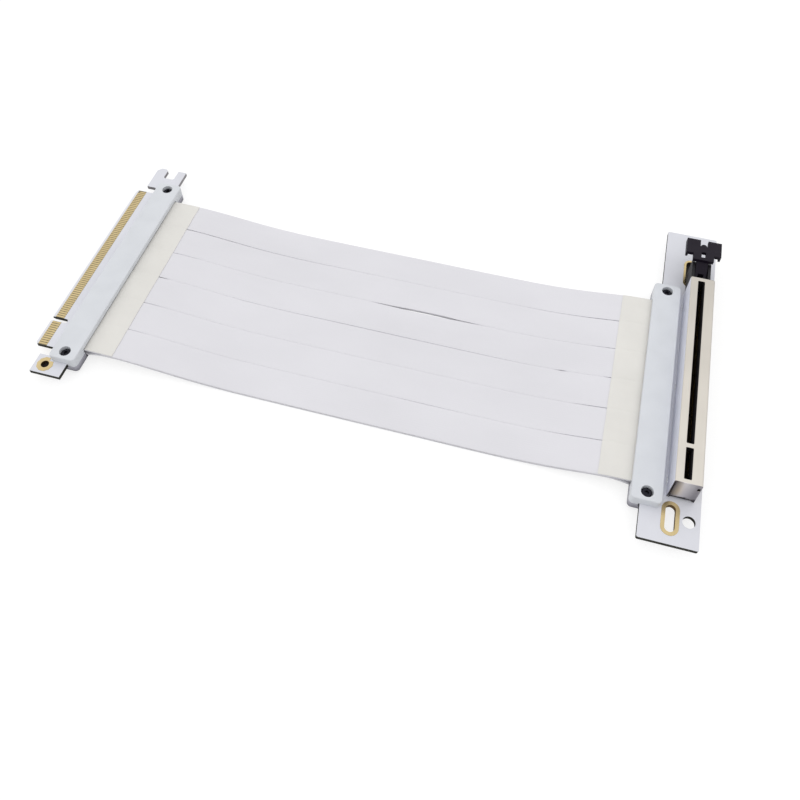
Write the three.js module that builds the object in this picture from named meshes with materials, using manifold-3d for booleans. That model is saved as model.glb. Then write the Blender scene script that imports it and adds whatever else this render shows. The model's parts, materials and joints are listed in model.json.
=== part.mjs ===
// A flexible riser cable for a graphics card, lying flat: a card-edge plug board and an armoured
// card socket board, joined by two layers of flat ribbon cable. Millimetres, +Z up, resting on Z = 0.
// X runs along the cable from the plug to the socket, Y along the two connectors.

import * as THREE from 'three';
import { mergeVertices } from 'three/addons/utils/BufferGeometryUtils.js';
import Module from 'manifold-3d';

const wasm = await Module();
wasm.setup();

// Clearances, the reach of a cut past the face it opens, that of a fused piece into its neighbour,
// and the segments of each quarter of a plated hole
const CLEAR = 0.3;
const TAPE_CLEAR = 0.1;
const PIVOT_CLEAR = 0.1;
const CUT_EXTRA = 1;
const FUSED = 0.5;
const HOLE_SEGMENTS = 5;

// Heights of the stack: lower cover, board, upper cover
const LOWER_COVER_HEIGHT = 3.2;
const BOARD_THICKNESS = 1.6;
const UPPER_COVER_HEIGHT = 3.4;
const BOARD_BOTTOM = LOWER_COVER_HEIGHT;
const BOARD_TOP = BOARD_BOTTOM + BOARD_THICKNESS;
const BOARD_MIDDLE = BOARD_BOTTOM + BOARD_THICKNESS / 2;
const STACK_TOP = BOARD_TOP + UPPER_COVER_HEIGHT;

// Card-edge plug, whose length follows from its contacts
const TONGUE_START = 2.3;
const TONGUE_REACH = 14.8;
const TONGUE_CHAMFER = 0.9;
const EDGE_BEVEL = 0.5;
const EDGE_BEVEL_RUN = 0.85;
const KEY_WIDTH = 1.9;
const KEY_DEPTH = 6.8;
const CONTACT_PITCH = 1;
const SHORT_SIDE_CONTACTS = 11;
const LONG_SIDE_CONTACTS = 71;
const FIRST_CONTACT = 0.65;
const LAST_CONTACT = 0.95;
const KEY_TO_CONTACT = 1.5;
const FINGER_WIDTH = 0.7;
const FINGER_LENGTH = 3.5;
const FINGER_INSET = 1.3;
const SHORT_FINGER_CUT = 0.9;
const KEY_FROM_START = FIRST_CONTACT + (SHORT_SIDE_CONTACTS - 1) * CONTACT_PITCH + KEY_TO_CONTACT;
const KEY_TO_END = KEY_TO_CONTACT + (LONG_SIDE_CONTACTS - 1) * CONTACT_PITCH + LAST_CONTACT;
const TONGUE_END = TONGUE_START + KEY_FROM_START + KEY_TO_END;

// Clamping covers, the same moulding pair at both ends of the cable
const COVER_WIDTH = 10.2;
const COVER_END = 3.4;
const COVER_CORNER = 1.5;
const COVER_EDGE = 0.35;
const LOWER_COVER_CHAMFER = 1.3;
const SCREW_PAST_TONGUE = 0.7;
const SCREW_PITCH = TONGUE_END + SCREW_PAST_TONGUE;
const SCREW_SHANK = 2;
const SCREW_HEAD = 3.6;
const SCREW_HEAD_HEIGHT = 1.2;
const SCREW_RECESS = 1.6;
const SCREW_RECESS_DEPTH = 0.7;
const SCREW_CROWN = 0.3;
const SCREW_POINT = 0.4;
const SCREW_TIP = 1.1;
const COUNTERBORE_DEPTH = 2.2;
const COVER_HALF = COVER_WIDTH / 2;

// Ribbon cable
const FREE_LENGTH = 200.8;
const STRIPS = 6;
const STRIP_GAP = 0.3;
const RIBBON_THICKNESS = 0.5;
const SCREW_TO_RIBBON = 3.75;
const RIBBON_CENTRE_Y = SCREW_PITCH / 2;
const TAPE_LENGTH = 11;
const TAPE_THICKNESS = 0.2;
const COVER_PITCH = FREE_LENGTH + COVER_WIDTH;
const CABLE_WIDTH = SCREW_PITCH - 2 * SCREW_TO_RIBBON;
const STRIP_PITCH = (CABLE_WIDTH + STRIP_GAP) / STRIPS;
const STRIP_WIDTH = STRIP_PITCH - STRIP_GAP;

// Route of each layer's middle, as the distance from a cover's centre line and the height
const UPPER_PLUG_ROUTE = [
  [-1.5, 5.4], [2, 5.4], [5.5, 5.35], [10, 5.3], [15, 5.2], [21, 4.95], [28, 4.35], [36, 3.45],
  [44, 2.55], [53, 1.8], [63, 1.35], [76, 1.2], [92, 1.2],
];
const UPPER_SOCKET_ROUTE = [
  [-1.5, 5.4], [2, 5.4], [5.5, 5.35], [10, 5.2], [15, 4.8], [21, 4.0], [28, 3.0], [36, 2.15],
  [45, 1.55], [56, 1.25], [70, 1.2], [86, 1.2],
];
const LOWER_PLUG_ROUTE = [
  [-1.5, 2.6], [2, 2.6], [5.5, 2.65], [8.5, 3.1], [11.5, 3.85], [15, 4.3], [21, 4.12], [28, 3.52],
  [36, 2.62], [44, 1.72], [53, 0.97], [63, 0.52], [76, 0.38], [92, 0.38],
];
const LOWER_SOCKET_ROUTE = [
  [-1.5, 2.6], [2, 2.6], [5.5, 2.65], [8.5, 3.05], [11.5, 3.65], [15, 3.85], [21, 3.15],
  [28, 2.16], [36, 1.32], [45, 0.72], [56, 0.42], [70, 0.38], [86, 0.38],
];

// Boards
const BOARD_PAST_AXIS = 1.5;
const BOARD_HOLE = 2.6;
const PLATING = 0.08;
const RIBBON_POCKET_HEIGHT = 1.5;
const RIBBON_POCKET_DEPTH = 7.9;

// Hook tail beyond the tongue and the fixing tab before it
const HOOK_GAP = 3.4;
const HOOK_NECK = 7.15;
const HOOK_NECK_RADIUS = 0.8;
const HOOK_REACH = 11.4;
const HOOK_LENGTH = 15.4;
const HOOK_TOP = TONGUE_END + HOOK_LENGTH;
const HOOK_CHAMFER = 1.6;
const HOOK_NOTCH_INNER = 2.15;
const HOOK_NOTCH_OUTER = 6.85;
const HOOK_NOTCH_DEPTH = 5.4;
const HOOK_NOTCH_FLOOR = HOOK_TOP - HOOK_NOTCH_DEPTH;
const HOOK_NOTCH_RADIUS = 0.9;
const TAB_REACH = 10.4;
const TAB_NEAR = -9.25;
const TAB_FAR = -1.5;
const TAB_HOLE_X = -6.25;
const TAB_HOLE_Y = -5.35;
const TAB_HOLE = 3;
const TAB_RING = 6.2;
const TAB_NOTCH_INNER = 4;

// Card slot
const TONGUE_PLAY = 0.5;
const OPENING_LENGTH = TONGUE_END - TONGUE_START + 2 * TONGUE_PLAY;
const OPENING_WIDTH = 2.5;
const KEY_BRIDGE = 1.6;
const KEY_CENTRE = KEY_FROM_START + TONGUE_PLAY;
const CARD_GAP = 1.8;
const CARD_DEPTH = 8;
const LEAD_IN = 0.6;
const SLOT_HEIGHT = 11.4;
const SHEET = 0.3;
const SHEET_BEND = 0.6;
const SHIELD_LEFT = 3.95;
const SHIELD_RIGHT = 5;
const SHIELD_NEAR = -1.4;
const SHIELD_PAST_OPENING = 1.6;
const SHIELD_FAR = OPENING_LENGTH + SHIELD_PAST_OPENING;
const END_PLATE_MARGIN = 0.9;
const END_PLATE_LIFT = 0.7;
const SEAM_DROP = 1;
const BEND_NOTCH = { inset: 1.2, high: 2, low: 3.6 };
const WINDOW_CORNER = 0.3;
const STANDOFF = 0.3;
const FOOT = 1.2;
const FOOT_INSET = 1;
const SPRING_WIDTH = 0.45;
const SPRING_PROUD = 0.35;
const SPRING_TOP = 2.2;
const SPRING_LEAD = 1.6;
const PEG = 1.8;
const FAR_PEG_INSET = 9.6;
const PEG_PLACES = [KEY_CENTRE, OPENING_LENGTH - FAR_PEG_INSET];
const LEG_WIDTH = 1.8;
const LEG_INSET = 4.6;
const LEG_PLACES = [LEG_INSET, OPENING_LENGTH / 2, OPENING_LENGTH - LEG_INSET];
const LEG_STOP = 0.3;
const SLOT_TOP = BOARD_TOP + SLOT_HEIGHT;

// Socket board, measured from the card slot's axis and the near end of its opening
const SLOT_FROM_COVER = 10.7;
const SLOT_START = 3.1;
const SOCKET_BOARD_RIGHT = 7.45;
const SOCKET_BOARD_NEAR = -18.1;
const SOCKET_BOARD_PAST_SHIELD = 33;
const SOCKET_BOARD_FAR = SHIELD_FAR + SOCKET_BOARD_PAST_SHIELD;
const BOARD_CORNER = 0.6;
const NEAR_SLOT_HOLE = { x: -2.15, y: -9, width: 3.3, length: 9.6, ring: 1.3 };
const FAR_HOLE_PAST_SHIELD = 11.7;
const FAR_SLOT_HOLE = { x: -2.15, y: SHIELD_FAR + FAR_HOLE_PAST_SHIELD, width: 3.4, length: 12.7, ring: 0.8 };
const ROUND_HOLE_X = 3.85;
const ROUND_HOLE_Y = -8.85;
const ROUND_HOLE = 4.2;

// Latch tower and latch: heights from the board's top, the latch's places along Y from its pivot
const TOWER_HALF = 3.55;
const TOWER_PAST_SHIELD = 10.8;
const TOWER_FAR = SHIELD_FAR + TOWER_PAST_SHIELD;
const TOWER_HEIGHT = 9.7;
const TOWER_WALL = 1.05;
const TOWER_FLOOR = 1.3;
const TOWER_NEAR_WALL = 1.4;
const TOWER_SLOPE = 1.6;
const PIVOT_INSET = 3.1;
const PIVOT_Y = TOWER_FAR - PIVOT_INSET;
const PIVOT_HEIGHT = 3.2;
const PIVOT_RADIUS = 1;
const TRUNNION_INSET = 0.1;
const LATCH_BOSS = 1.6;
// Side outline of the lever above its boss, as the distance past the pivot and the height
const LEVER_OUTLINE = [[3.8, 10.8], [1.4, 10.8], [-1, 9.7], [-4.9, 8.3], [-4.9, 7.6], [-2.5, 7.2]];
const NOSE_SLOT_LENGTH = 1.6;
const LATCH_TOP = 12;
const LATCH_PLATE = 1.4;
const NECK_HALF = 3.9;
const NECK_START = 1.2;
const WING_START = 4.3;
const WING_END = 11.8;
const WING_HALF = 6.6;
const WING_LIP = 0.8;
const WING_LIP_DROP = 1.1;
const WING_LIP_STEP = 0.4;
const THUMB_GAP = 2.9;
const THUMB_FLOOR = 8.5;
const BUTTON_Y = 8.8;
const BUTTON_RADIUS = 1.25;
const BUTTON_DROP = 0.5;
const WINDOW_HALF = 0.85;
const WINDOW_START = 2.4;
const WINDOW_END = 5.4;

const finishes = {
  board: { color: 0xe6e6ea, roughness: 0.45, metalness: 0 },
  cover: { color: 0xdadde2, roughness: 0.5, metalness: 0 },
  ribbon: { color: 0xe6e5ea, roughness: 0.55, metalness: 0 },
  tape: { color: 0xe2deda, roughness: 0.6, metalness: 0 },
  screw: { color: 0x24242a, roughness: 0.4, metalness: 0.8 },
  slot: { color: 0x1b1a1e, roughness: 0.5, metalness: 0 },
  shield: { color: 0xd2cfca, roughness: 0.25, metalness: 0.9 },
  latch: { color: 0x26242a, roughness: 0.45, metalness: 0 },
};

// Solids in and out of the boolean library

function solid(geometry) {
  const bare = geometry.clone();
  bare.deleteAttribute('normal');
  bare.deleteAttribute('uv');
  const merged = mergeVertices(bare, 1e-5);
  return new wasm.Manifold(new wasm.Mesh({
    numProp: 3,
    vertProperties: new Float32Array(merged.attributes.position.array),
    triVerts: new Uint32Array(merged.index.array),
  }));
}

function geometryOf(body) {
  const mesh = body.getMesh();
  const geometry = new THREE.BufferGeometry();
  geometry.setAttribute('position', new THREE.BufferAttribute(new Float32Array(mesh.vertProperties), 3));
  geometry.setIndex(new THREE.BufferAttribute(new Uint32Array(mesh.triVerts), 1));
  geometry.computeVertexNormals();
  return geometry;
}

function cut(body, tools) {
  return tools.reduce((left, tool) => left.subtract(tool), body);
}

function join(body, additions) {
  return additions.reduce((whole, addition) => whole.add(addition), body);
}

// Basic forms

function block([x0, x1], [y0, y1], [z0, z1]) {
  const box = new THREE.BoxGeometry(x1 - x0, y1 - y0, z1 - z0);
  box.translate((x0 + x1) / 2, (y0 + y1) / 2, (z0 + z1) / 2);
  return solid(box);
}

// A cylinder about the Z axis, which the two functions below place upright and along X
function rod(diameter, [low, high], sides = 20) {
  const cylinder = new THREE.CylinderGeometry(diameter / 2, diameter / 2, high - low, sides);
  cylinder.rotateX(Math.PI / 2);
  cylinder.translate(0, 0, (low + high) / 2);
  return cylinder;
}

function uprightRod(x, y, diameter, span, sides) {
  const geometry = rod(diameter, span, sides);
  geometry.translate(x, y, 0);
  return solid(geometry);
}

function crossRod(y, z, diameter, span, sides) {
  const geometry = rod(diameter, span, sides);
  geometry.rotateY(Math.PI / 2);
  geometry.translate(0, y, z);
  return solid(geometry);
}

// A flat outline in X and Y, raised from z0 to z1
function plate(outline, [z0, z1], curveSegments = 6) {
  const geometry = new THREE.ExtrudeGeometry(outline, { depth: z1 - z0, bevelEnabled: false, curveSegments });
  geometry.translate(0, 0, z0);
  return solid(geometry);
}

// A side outline in Y and Z, run along X
function sideways(outline, [x0, x1], curveSegments = 6) {
  const geometry = new THREE.ExtrudeGeometry(outline, { depth: x1 - x0, bevelEnabled: false, curveSegments });
  geometry.rotateZ(Math.PI / 2);
  geometry.rotateY(Math.PI / 2);
  geometry.translate(x0, 0, 0);
  return geometry;
}

// An end outline in X and Z, run along Y
function lengthways(outline, [y0, y1], curveSegments = 6) {
  const geometry = new THREE.ExtrudeGeometry(outline, { depth: y1 - y0, bevelEnabled: false, curveSegments });
  geometry.rotateX(Math.PI / 2);
  geometry.translate(0, y1, 0);
  return geometry;
}

function polygon(points) {
  return new THREE.Shape(points.map(([x, y]) => new THREE.Vector2(x, y)));
}

function roundedRectangle([x0, x1], [y0, y1], radius) {
  const shape = new THREE.Shape();
  shape.moveTo(x0 + radius, y0);
  shape.lineTo(x1 - radius, y0);
  shape.absarc(x1 - radius, y0 + radius, radius, -Math.PI / 2, 0);
  shape.lineTo(x1, y1 - radius);
  shape.absarc(x1 - radius, y1 - radius, radius, 0, Math.PI / 2);
  shape.lineTo(x0 + radius, y1);
  shape.absarc(x0 + radius, y1 - radius, radius, Math.PI / 2, Math.PI);
  shape.lineTo(x0, y0 + radius);
  shape.absarc(x0 + radius, y0 + radius, radius, Math.PI, Math.PI * 1.5);
  return shape;
}

// The corner radius of a fully rounded end, just short of half the width so that no side vanishes
const FULL_ROUND = 0.999;

function oblong({ x, y, width, length }, margin = 0) {
  const half = width / 2 + margin;
  const reach = length / 2 + margin;
  return roundedRectangle([x - half, x + half], [y - reach, y + reach], half * FULL_ROUND);
}

function circle(x, y, diameter) {
  const shape = new THREE.Shape();
  shape.absarc(x, y, diameter / 2, 0, Math.PI * 2);
  return shape;
}

// Covers, modelled with the cable leaving towards +X

// The layer of the clamped stack that one cover takes up, with its outer edge softened in steps
function stackLayer(span, edge, steps) {
  const bevel = {
    depth: STACK_TOP - 2 * edge,
    bevelEnabled: true,
    bevelThickness: edge,
    bevelSize: edge,
    bevelOffset: -edge,
    bevelSegments: steps,
    curveSegments: 4,
  };
  const outline = roundedRectangle(
    [-COVER_HALF, COVER_HALF],
    [-COVER_END, SCREW_PITCH + COVER_END],
    COVER_CORNER,
  );
  const geometry = new THREE.ExtrudeGeometry(outline, bevel);
  geometry.translate(0, 0, edge);
  const wide = [-COVER_WIDTH, COVER_WIDTH];
  const long = [-COVER_WIDTH, SCREW_PITCH + COVER_WIDTH];
  return solid(geometry).intersect(block(wide, long, span));
}

// The mouth that the ribbons pass through, on one side of the board
function ribbonPocket(span) {
  const half = CABLE_WIDTH / 2 + CLEAR;
  return block(
    [COVER_HALF - RIBBON_POCKET_DEPTH, COVER_HALF + CUT_EXTRA],
    [RIBBON_CENTRE_Y - half, RIBBON_CENTRE_Y + half],
    span,
  );
}

// The board's edge strip, which the two covers clamp between them
function boardSpace(span) {
  const wide = COVER_HALF + CUT_EXTRA;
  const long = COVER_END + CUT_EXTRA;
  return block([-wide, BOARD_PAST_AXIS + CLEAR], [-long, SCREW_PITCH + long], span);
}

const screwRows = [0, SCREW_PITCH];

function upperCover() {
  const bores = screwRows.flatMap((y) => [
    uprightRod(0, y, SCREW_HEAD + 2 * CLEAR, [STACK_TOP - COUNTERBORE_DEPTH, STACK_TOP + CUT_EXTRA]),
    uprightRod(0, y, SCREW_SHANK + 2 * CLEAR, [BOARD_BOTTOM, STACK_TOP]),
  ]);
  return cut(stackLayer([BOARD_MIDDLE, STACK_TOP + CUT_EXTRA], COVER_EDGE, 2), [
    boardSpace([0, BOARD_TOP]),
    ribbonPocket([0, BOARD_TOP + RIBBON_POCKET_HEIGHT]),
    ...bores,
  ]);
}

function lowerCover() {
  const bores = screwRows.map((y) => (
    uprightRod(0, y, SCREW_SHANK + 2 * CLEAR, [SCREW_TIP - CLEAR, BOARD_TOP])
  ));
  return cut(stackLayer([-CUT_EXTRA, BOARD_MIDDLE], LOWER_COVER_CHAMFER, 1), [
    boardSpace([BOARD_BOTTOM, STACK_TOP]),
    ribbonPocket([BOARD_BOTTOM - RIBBON_POCKET_HEIGHT, STACK_TOP]),
    ...bores,
  ]);
}

// A cheese-head screw with a six-sided recess and a plain shank, sunk in the upper cover's bore
function coverScrew() {
  const seat = STACK_TOP - COUNTERBORE_DEPTH;
  const top = seat + SCREW_HEAD_HEIGHT;
  const head = SCREW_HEAD / 2;
  const shank = SCREW_SHANK / 2;
  const profile = [
    [0, SCREW_TIP], [shank - SCREW_POINT, SCREW_TIP], [shank, SCREW_TIP + SCREW_POINT], [shank, seat],
    [head, seat], [head, top - SCREW_CROWN], [head - SCREW_CROWN, top], [0, top],
  ];
  const turned = new THREE.LatheGeometry(profile.map(([r, z]) => new THREE.Vector2(r, z)), 20);
  turned.rotateX(Math.PI / 2);
  return cut(solid(turned), [
    uprightRod(0, 0, SCREW_RECESS, [top - SCREW_RECESS_DEPTH, top + CUT_EXTRA], 6),
  ]);
}

// Plug board, measured from the cover's centre line and the near screw

const keyY = TONGUE_START + KEY_FROM_START;
const hookLow = TONGUE_END + HOOK_GAP;

// Contact centres along Y, in order, on both sides of a key
function contactPlaces(key) {
  const places = (count, side) => Array.from({ length: count }, (_, i) => (
    key + side * (KEY_TO_CONTACT + i * CONTACT_PITCH)
  ));
  return [...places(SHORT_SIDE_CONTACTS, -1).reverse(), ...places(LONG_SIDE_CONTACTS, 1)];
}

function plugOutline() {
  const r = HOOK_NOTCH_RADIUS;
  const neckRadius = HOOK_NECK_RADIUS;
  const shape = new THREE.Shape();
  shape.moveTo(BOARD_PAST_AXIS, TAB_NEAR);
  shape.lineTo(BOARD_PAST_AXIS, HOOK_TOP);
  shape.lineTo(-HOOK_NOTCH_INNER, HOOK_TOP);
  shape.lineTo(-HOOK_NOTCH_INNER, HOOK_NOTCH_FLOOR + r);
  shape.absarc(-HOOK_NOTCH_INNER - r, HOOK_NOTCH_FLOOR + r, r, 0, -Math.PI / 2, true);
  shape.lineTo(-HOOK_NOTCH_OUTER + r, HOOK_NOTCH_FLOOR);
  shape.absarc(-HOOK_NOTCH_OUTER + r, HOOK_NOTCH_FLOOR + r, r, -Math.PI / 2, -Math.PI, true);
  shape.lineTo(-HOOK_NOTCH_OUTER, HOOK_TOP - HOOK_CHAMFER / 2);
  shape.lineTo(-HOOK_NOTCH_OUTER - HOOK_CHAMFER / 2, HOOK_TOP);
  shape.lineTo(-HOOK_REACH + HOOK_CHAMFER, HOOK_TOP);
  shape.lineTo(-HOOK_REACH, HOOK_TOP - HOOK_CHAMFER);
  shape.lineTo(-HOOK_REACH, hookLow);
  shape.lineTo(-HOOK_NECK - neckRadius, hookLow);
  shape.absarc(-HOOK_NECK - neckRadius, hookLow - neckRadius, neckRadius, Math.PI / 2, 0, true);
  shape.lineTo(-HOOK_NECK, TONGUE_END + neckRadius);
  shape.absarc(-HOOK_NECK - neckRadius, TONGUE_END + neckRadius, neckRadius, 0, -Math.PI / 2, true);
  shape.lineTo(-TONGUE_REACH + TONGUE_CHAMFER, TONGUE_END);
  shape.lineTo(-TONGUE_REACH, TONGUE_END - TONGUE_CHAMFER);
  shape.lineTo(-TONGUE_REACH, TONGUE_START + TONGUE_CHAMFER);
  shape.lineTo(-TONGUE_REACH + TONGUE_CHAMFER, TONGUE_START);
  shape.lineTo(-TAB_NOTCH_INNER, TONGUE_START);
  shape.lineTo(-TAB_NOTCH_INNER, TAB_FAR);
  shape.lineTo(-TAB_REACH, TAB_FAR);
  shape.lineTo(-TAB_REACH, TAB_NEAR);
  return shape;
}

// The slanted lead-in along the tongue's outer edge, taken off both faces
function edgeBevels() {
  const edge = -TONGUE_REACH;
  const wedge = (face, side) => {
    const outside = face + side * CUT_EXTRA;
    const inside = face - side * EDGE_BEVEL;
    const outline = polygon([
      [edge - CUT_EXTRA, outside], [edge + EDGE_BEVEL_RUN, outside], [edge + EDGE_BEVEL_RUN, face],
      [edge, inside], [edge - CUT_EXTRA, inside],
    ]);
    return solid(lengthways(outline, [TONGUE_START - CUT_EXTRA, TONGUE_END + CUT_EXTRA]));
  };
  return [wedge(BOARD_TOP, 1), wedge(BOARD_BOTTOM, -1)];
}

// Contact fingers stand a plating's thickness proud; the first of one face and the last of the
// other start late, because they sense that the plug is fully home
function fingers(face, shortPlace) {
  const outer = -TONGUE_REACH + FINGER_INSET;
  return contactPlaces(keyY).map((y) => {
    const start = y === shortPlace ? outer + SHORT_FINGER_CUT : outer;
    const sides = [y - FINGER_WIDTH / 2, y + FINGER_WIDTH / 2];
    return block([start, outer + FINGER_LENGTH], sides, [face - PLATING, face + PLATING]);
  });
}

// A plated pad, proud of both faces of a board
function platedPad(outline) {
  return plate(outline, [BOARD_BOTTOM - PLATING, BOARD_TOP + PLATING], HOLE_SEGMENTS);
}

function plugBoard() {
  const places = contactPlaces(keyY);
  const through = [0, STACK_TOP];
  const coverArea = block([-COVER_HALF - CLEAR, COVER_HALF], [-COVER_END - CLEAR, SCREW_PITCH], through);
  const keySlot = roundedRectangle(
    [-TONGUE_REACH - KEY_WIDTH, -TONGUE_REACH + KEY_DEPTH],
    [keyY - KEY_WIDTH / 2, keyY + KEY_WIDTH / 2],
    KEY_WIDTH / 2 * FULL_ROUND,
  );
  const board = join(plate(plugOutline(), [BOARD_BOTTOM, BOARD_TOP]), [
    platedPad(circle(TAB_HOLE_X, TAB_HOLE_Y, TAB_RING)).subtract(coverArea),
    ...fingers(BOARD_TOP, places[places.length - 1]),
    ...fingers(BOARD_BOTTOM, places[0]),
  ]);
  return cut(board, [
    plate(keySlot, through),
    ...edgeBevels(),
    uprightRod(TAB_HOLE_X, TAB_HOLE_Y, TAB_HOLE, through, 32),
    ...screwRows.map((y) => uprightRod(0, y, BOARD_HOLE, through)),
  ]);
}

// Socket board and slot, measured from the slot's axis and the near end of its opening

const coverX = -SLOT_FROM_COVER;
const socketScrewRows = screwRows.map((y) => y - SLOT_START);
const housingLeft = -SHIELD_LEFT + SHEET + CLEAR;
const housingRight = SHIELD_RIGHT - SHEET - CLEAR;

function legSlots() {
  return LEG_PLACES.flatMap((y) => [
    [-SHIELD_LEFT - CLEAR, -SHIELD_LEFT + SHEET + CLEAR],
    [SHIELD_RIGHT - SHEET - CLEAR, SHIELD_RIGHT + CLEAR],
  ].map((span) => block(
    span,
    [y - LEG_WIDTH / 2 - CLEAR, y + LEG_WIDTH / 2 + CLEAR],
    [0, STACK_TOP],
  )));
}

function socketBoard() {
  const outline = roundedRectangle(
    [coverX - BOARD_PAST_AXIS, SOCKET_BOARD_RIGHT],
    [SOCKET_BOARD_NEAR, SOCKET_BOARD_FAR],
    BOARD_CORNER,
  );
  const through = [0, STACK_TOP];
  const slotHoles = [NEAR_SLOT_HOLE, FAR_SLOT_HOLE];
  const pads = slotHoles.map((hole) => platedPad(oblong(hole, hole.ring)));
  return cut(join(plate(outline, [BOARD_BOTTOM, BOARD_TOP]), pads), [
    ...slotHoles.map((hole) => plate(oblong(hole), through, HOLE_SEGMENTS)),
    uprightRod(ROUND_HOLE_X, ROUND_HOLE_Y, ROUND_HOLE, through, 32),
    ...socketScrewRows.map((y) => uprightRod(coverX, y, BOARD_HOLE, through)),
    ...PEG_PLACES.map((y) => uprightRod(0, y, PEG + 2 * CLEAR, through, 16)),
    ...legSlots(),
  ]);
}

// The two stretches of the card gap, on either side of the key bridge
function openings() {
  return [
    [0, KEY_CENTRE - KEY_BRIDGE / 2],
    [KEY_CENTRE + KEY_BRIDGE / 2, OPENING_LENGTH],
  ];
}

function cardGaps() {
  const half = CARD_GAP / 2;
  const mouth = OPENING_WIDTH / 2;
  const top = SLOT_TOP - SHEET;
  const outline = polygon([
    [-half, top - CARD_DEPTH], [half, top - CARD_DEPTH], [half, top - LEAD_IN], [mouth, top],
    [mouth, top + CUT_EXTRA], [-mouth, top + CUT_EXTRA], [-mouth, top], [-half, top - LEAD_IN],
  ]);
  return openings().map((span) => solid(lengthways(outline, span)));
}

// Contact springs: a row down each wall of the card gap, seated in the housing
function contactSprings() {
  const top = SLOT_TOP - SHEET - SPRING_TOP;
  const low = SLOT_TOP - SHEET - CARD_DEPTH - FUSED;
  const root = CARD_GAP / 2 + FUSED;
  const crest = CARD_GAP / 2 - SPRING_PROUD;
  const profile = (side) => polygon([
    [side * root, low], [side * crest, low], [side * crest, top - SPRING_LEAD], [side * root, top],
  ]);
  return contactPlaces(KEY_CENTRE).flatMap((y) => [-1, 1].map((side) => (
    solid(lengthways(profile(side), [y - SPRING_WIDTH / 2, y + SPRING_WIDTH / 2]))
  )));
}

function slotHousing() {
  const low = BOARD_TOP + STANDOFF;
  const near = SHIELD_NEAR + SHEET + CLEAR;
  const body = block([housingLeft, housingRight], [near, SHIELD_FAR + CLEAR], [low, SLOT_TOP - SHEET]);
  const towerTop = BOARD_TOP + TOWER_HEIGHT;
  const tower = block([-TOWER_HALF, TOWER_HALF], [OPENING_LENGTH, TOWER_FAR], [low, towerTop]);
  const earGap = TOWER_HALF - TOWER_WALL;
  const channel = block(
    [-earGap, earGap],
    [SHIELD_FAR + CLEAR + TOWER_NEAR_WALL, TOWER_FAR + CUT_EXTRA],
    [BOARD_TOP + TOWER_FLOOR, SLOT_TOP],
  );
  const towerWidth = [-TOWER_HALF - CUT_EXTRA, TOWER_HALF + CUT_EXTRA];
  const farSlope = sideways(polygon([
    [TOWER_FAR + CUT_EXTRA, towerTop - TOWER_SLOPE], [TOWER_FAR + CUT_EXTRA, towerTop],
    [TOWER_FAR - TOWER_SLOPE, towerTop],
  ]), towerWidth);
  const pivotBore = crossRod(
    PIVOT_Y,
    BOARD_TOP + PIVOT_HEIGHT,
    2 * (PIVOT_RADIUS + PIVOT_CLEAR),
    towerWidth,
    16,
  );
  const feet = [near + FOOT_INSET, OPENING_LENGTH].map((y) => (
    block([housingLeft, housingRight], [y, y + FOOT], [BOARD_TOP, low + FUSED])
  ));
  const pegs = PEG_PLACES.map((y) => (
    uprightRod(0, y, PEG, [BOARD_BOTTOM + LEG_STOP, low + FUSED], 16)
  ));
  const shell = cut(join(body, [tower, ...feet, ...pegs]), [
    channel,
    solid(farSlope),
    pivotBore,
    ...cardGaps(),
  ]);
  return join(shell, contactSprings());
}

// Folded steel sleeve over the slot: a bent channel, a near end plate and soldered legs
function slotShield() {
  const r = SHEET_BEND;
  const inner = r - SHEET;
  const arch = (left, right, top, radius, low) => {
    const shape = new THREE.Shape();
    shape.moveTo(left, low);
    shape.lineTo(right, low);
    shape.lineTo(right, top - radius);
    shape.absarc(right - radius, top - radius, radius, 0, Math.PI / 2);
    shape.lineTo(left + radius, top);
    shape.absarc(left + radius, top - radius, radius, Math.PI / 2, Math.PI);
    return shape;
  };
  const outer = lengthways(
    arch(-SHIELD_LEFT, SHIELD_RIGHT, SLOT_TOP, r, BOARD_TOP),
    [SHIELD_NEAR, SHIELD_FAR],
    3,
  );
  const hollow = lengthways(
    arch(-SHIELD_LEFT + SHEET, SHIELD_RIGHT - SHEET, SLOT_TOP - SHEET, inner, BOARD_TOP - CUT_EXTRA),
    [SHIELD_NEAR + SHEET, SHIELD_FAR + CUT_EXTRA],
    3,
  );
  const windows = openings().map((span) => plate(
    roundedRectangle([-OPENING_WIDTH / 2, OPENING_WIDTH / 2], span, WINDOW_CORNER),
    [SLOT_TOP - 2 * SHEET, SLOT_TOP + CUT_EXTRA],
    2,
  ));
  const plateCut = [SHIELD_NEAR - CUT_EXTRA, SHIELD_NEAR + SHEET];
  const footGap = block(
    [-SHIELD_LEFT + END_PLATE_MARGIN, SHIELD_RIGHT - END_PLATE_MARGIN],
    plateCut,
    [0, BOARD_TOP + END_PLATE_LIFT],
  );
  const seamLeft = block(
    [-SHIELD_LEFT + SHEET, -SHIELD_LEFT + 2 * SHEET],
    plateCut,
    [0, SLOT_TOP - SEAM_DROP],
  );
  const bendNotch = block(
    [SHIELD_RIGHT - BEND_NOTCH.inset, SHIELD_RIGHT - SHEET],
    plateCut,
    [SLOT_TOP - BEND_NOTCH.low, SLOT_TOP - BEND_NOTCH.high],
  );
  const legs = LEG_PLACES.flatMap((y) => [
    [-SHIELD_LEFT, -SHIELD_LEFT + SHEET],
    [SHIELD_RIGHT - SHEET, SHIELD_RIGHT],
  ].map((span) => block(
    span,
    [y - LEG_WIDTH / 2, y + LEG_WIDTH / 2],
    [BOARD_BOTTOM + LEG_STOP, BOARD_TOP + CUT_EXTRA],
  )));
  return join(cut(solid(outer), [solid(hollow), ...windows, footGap, seamLeft, bendNotch]), legs);
}

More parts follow.
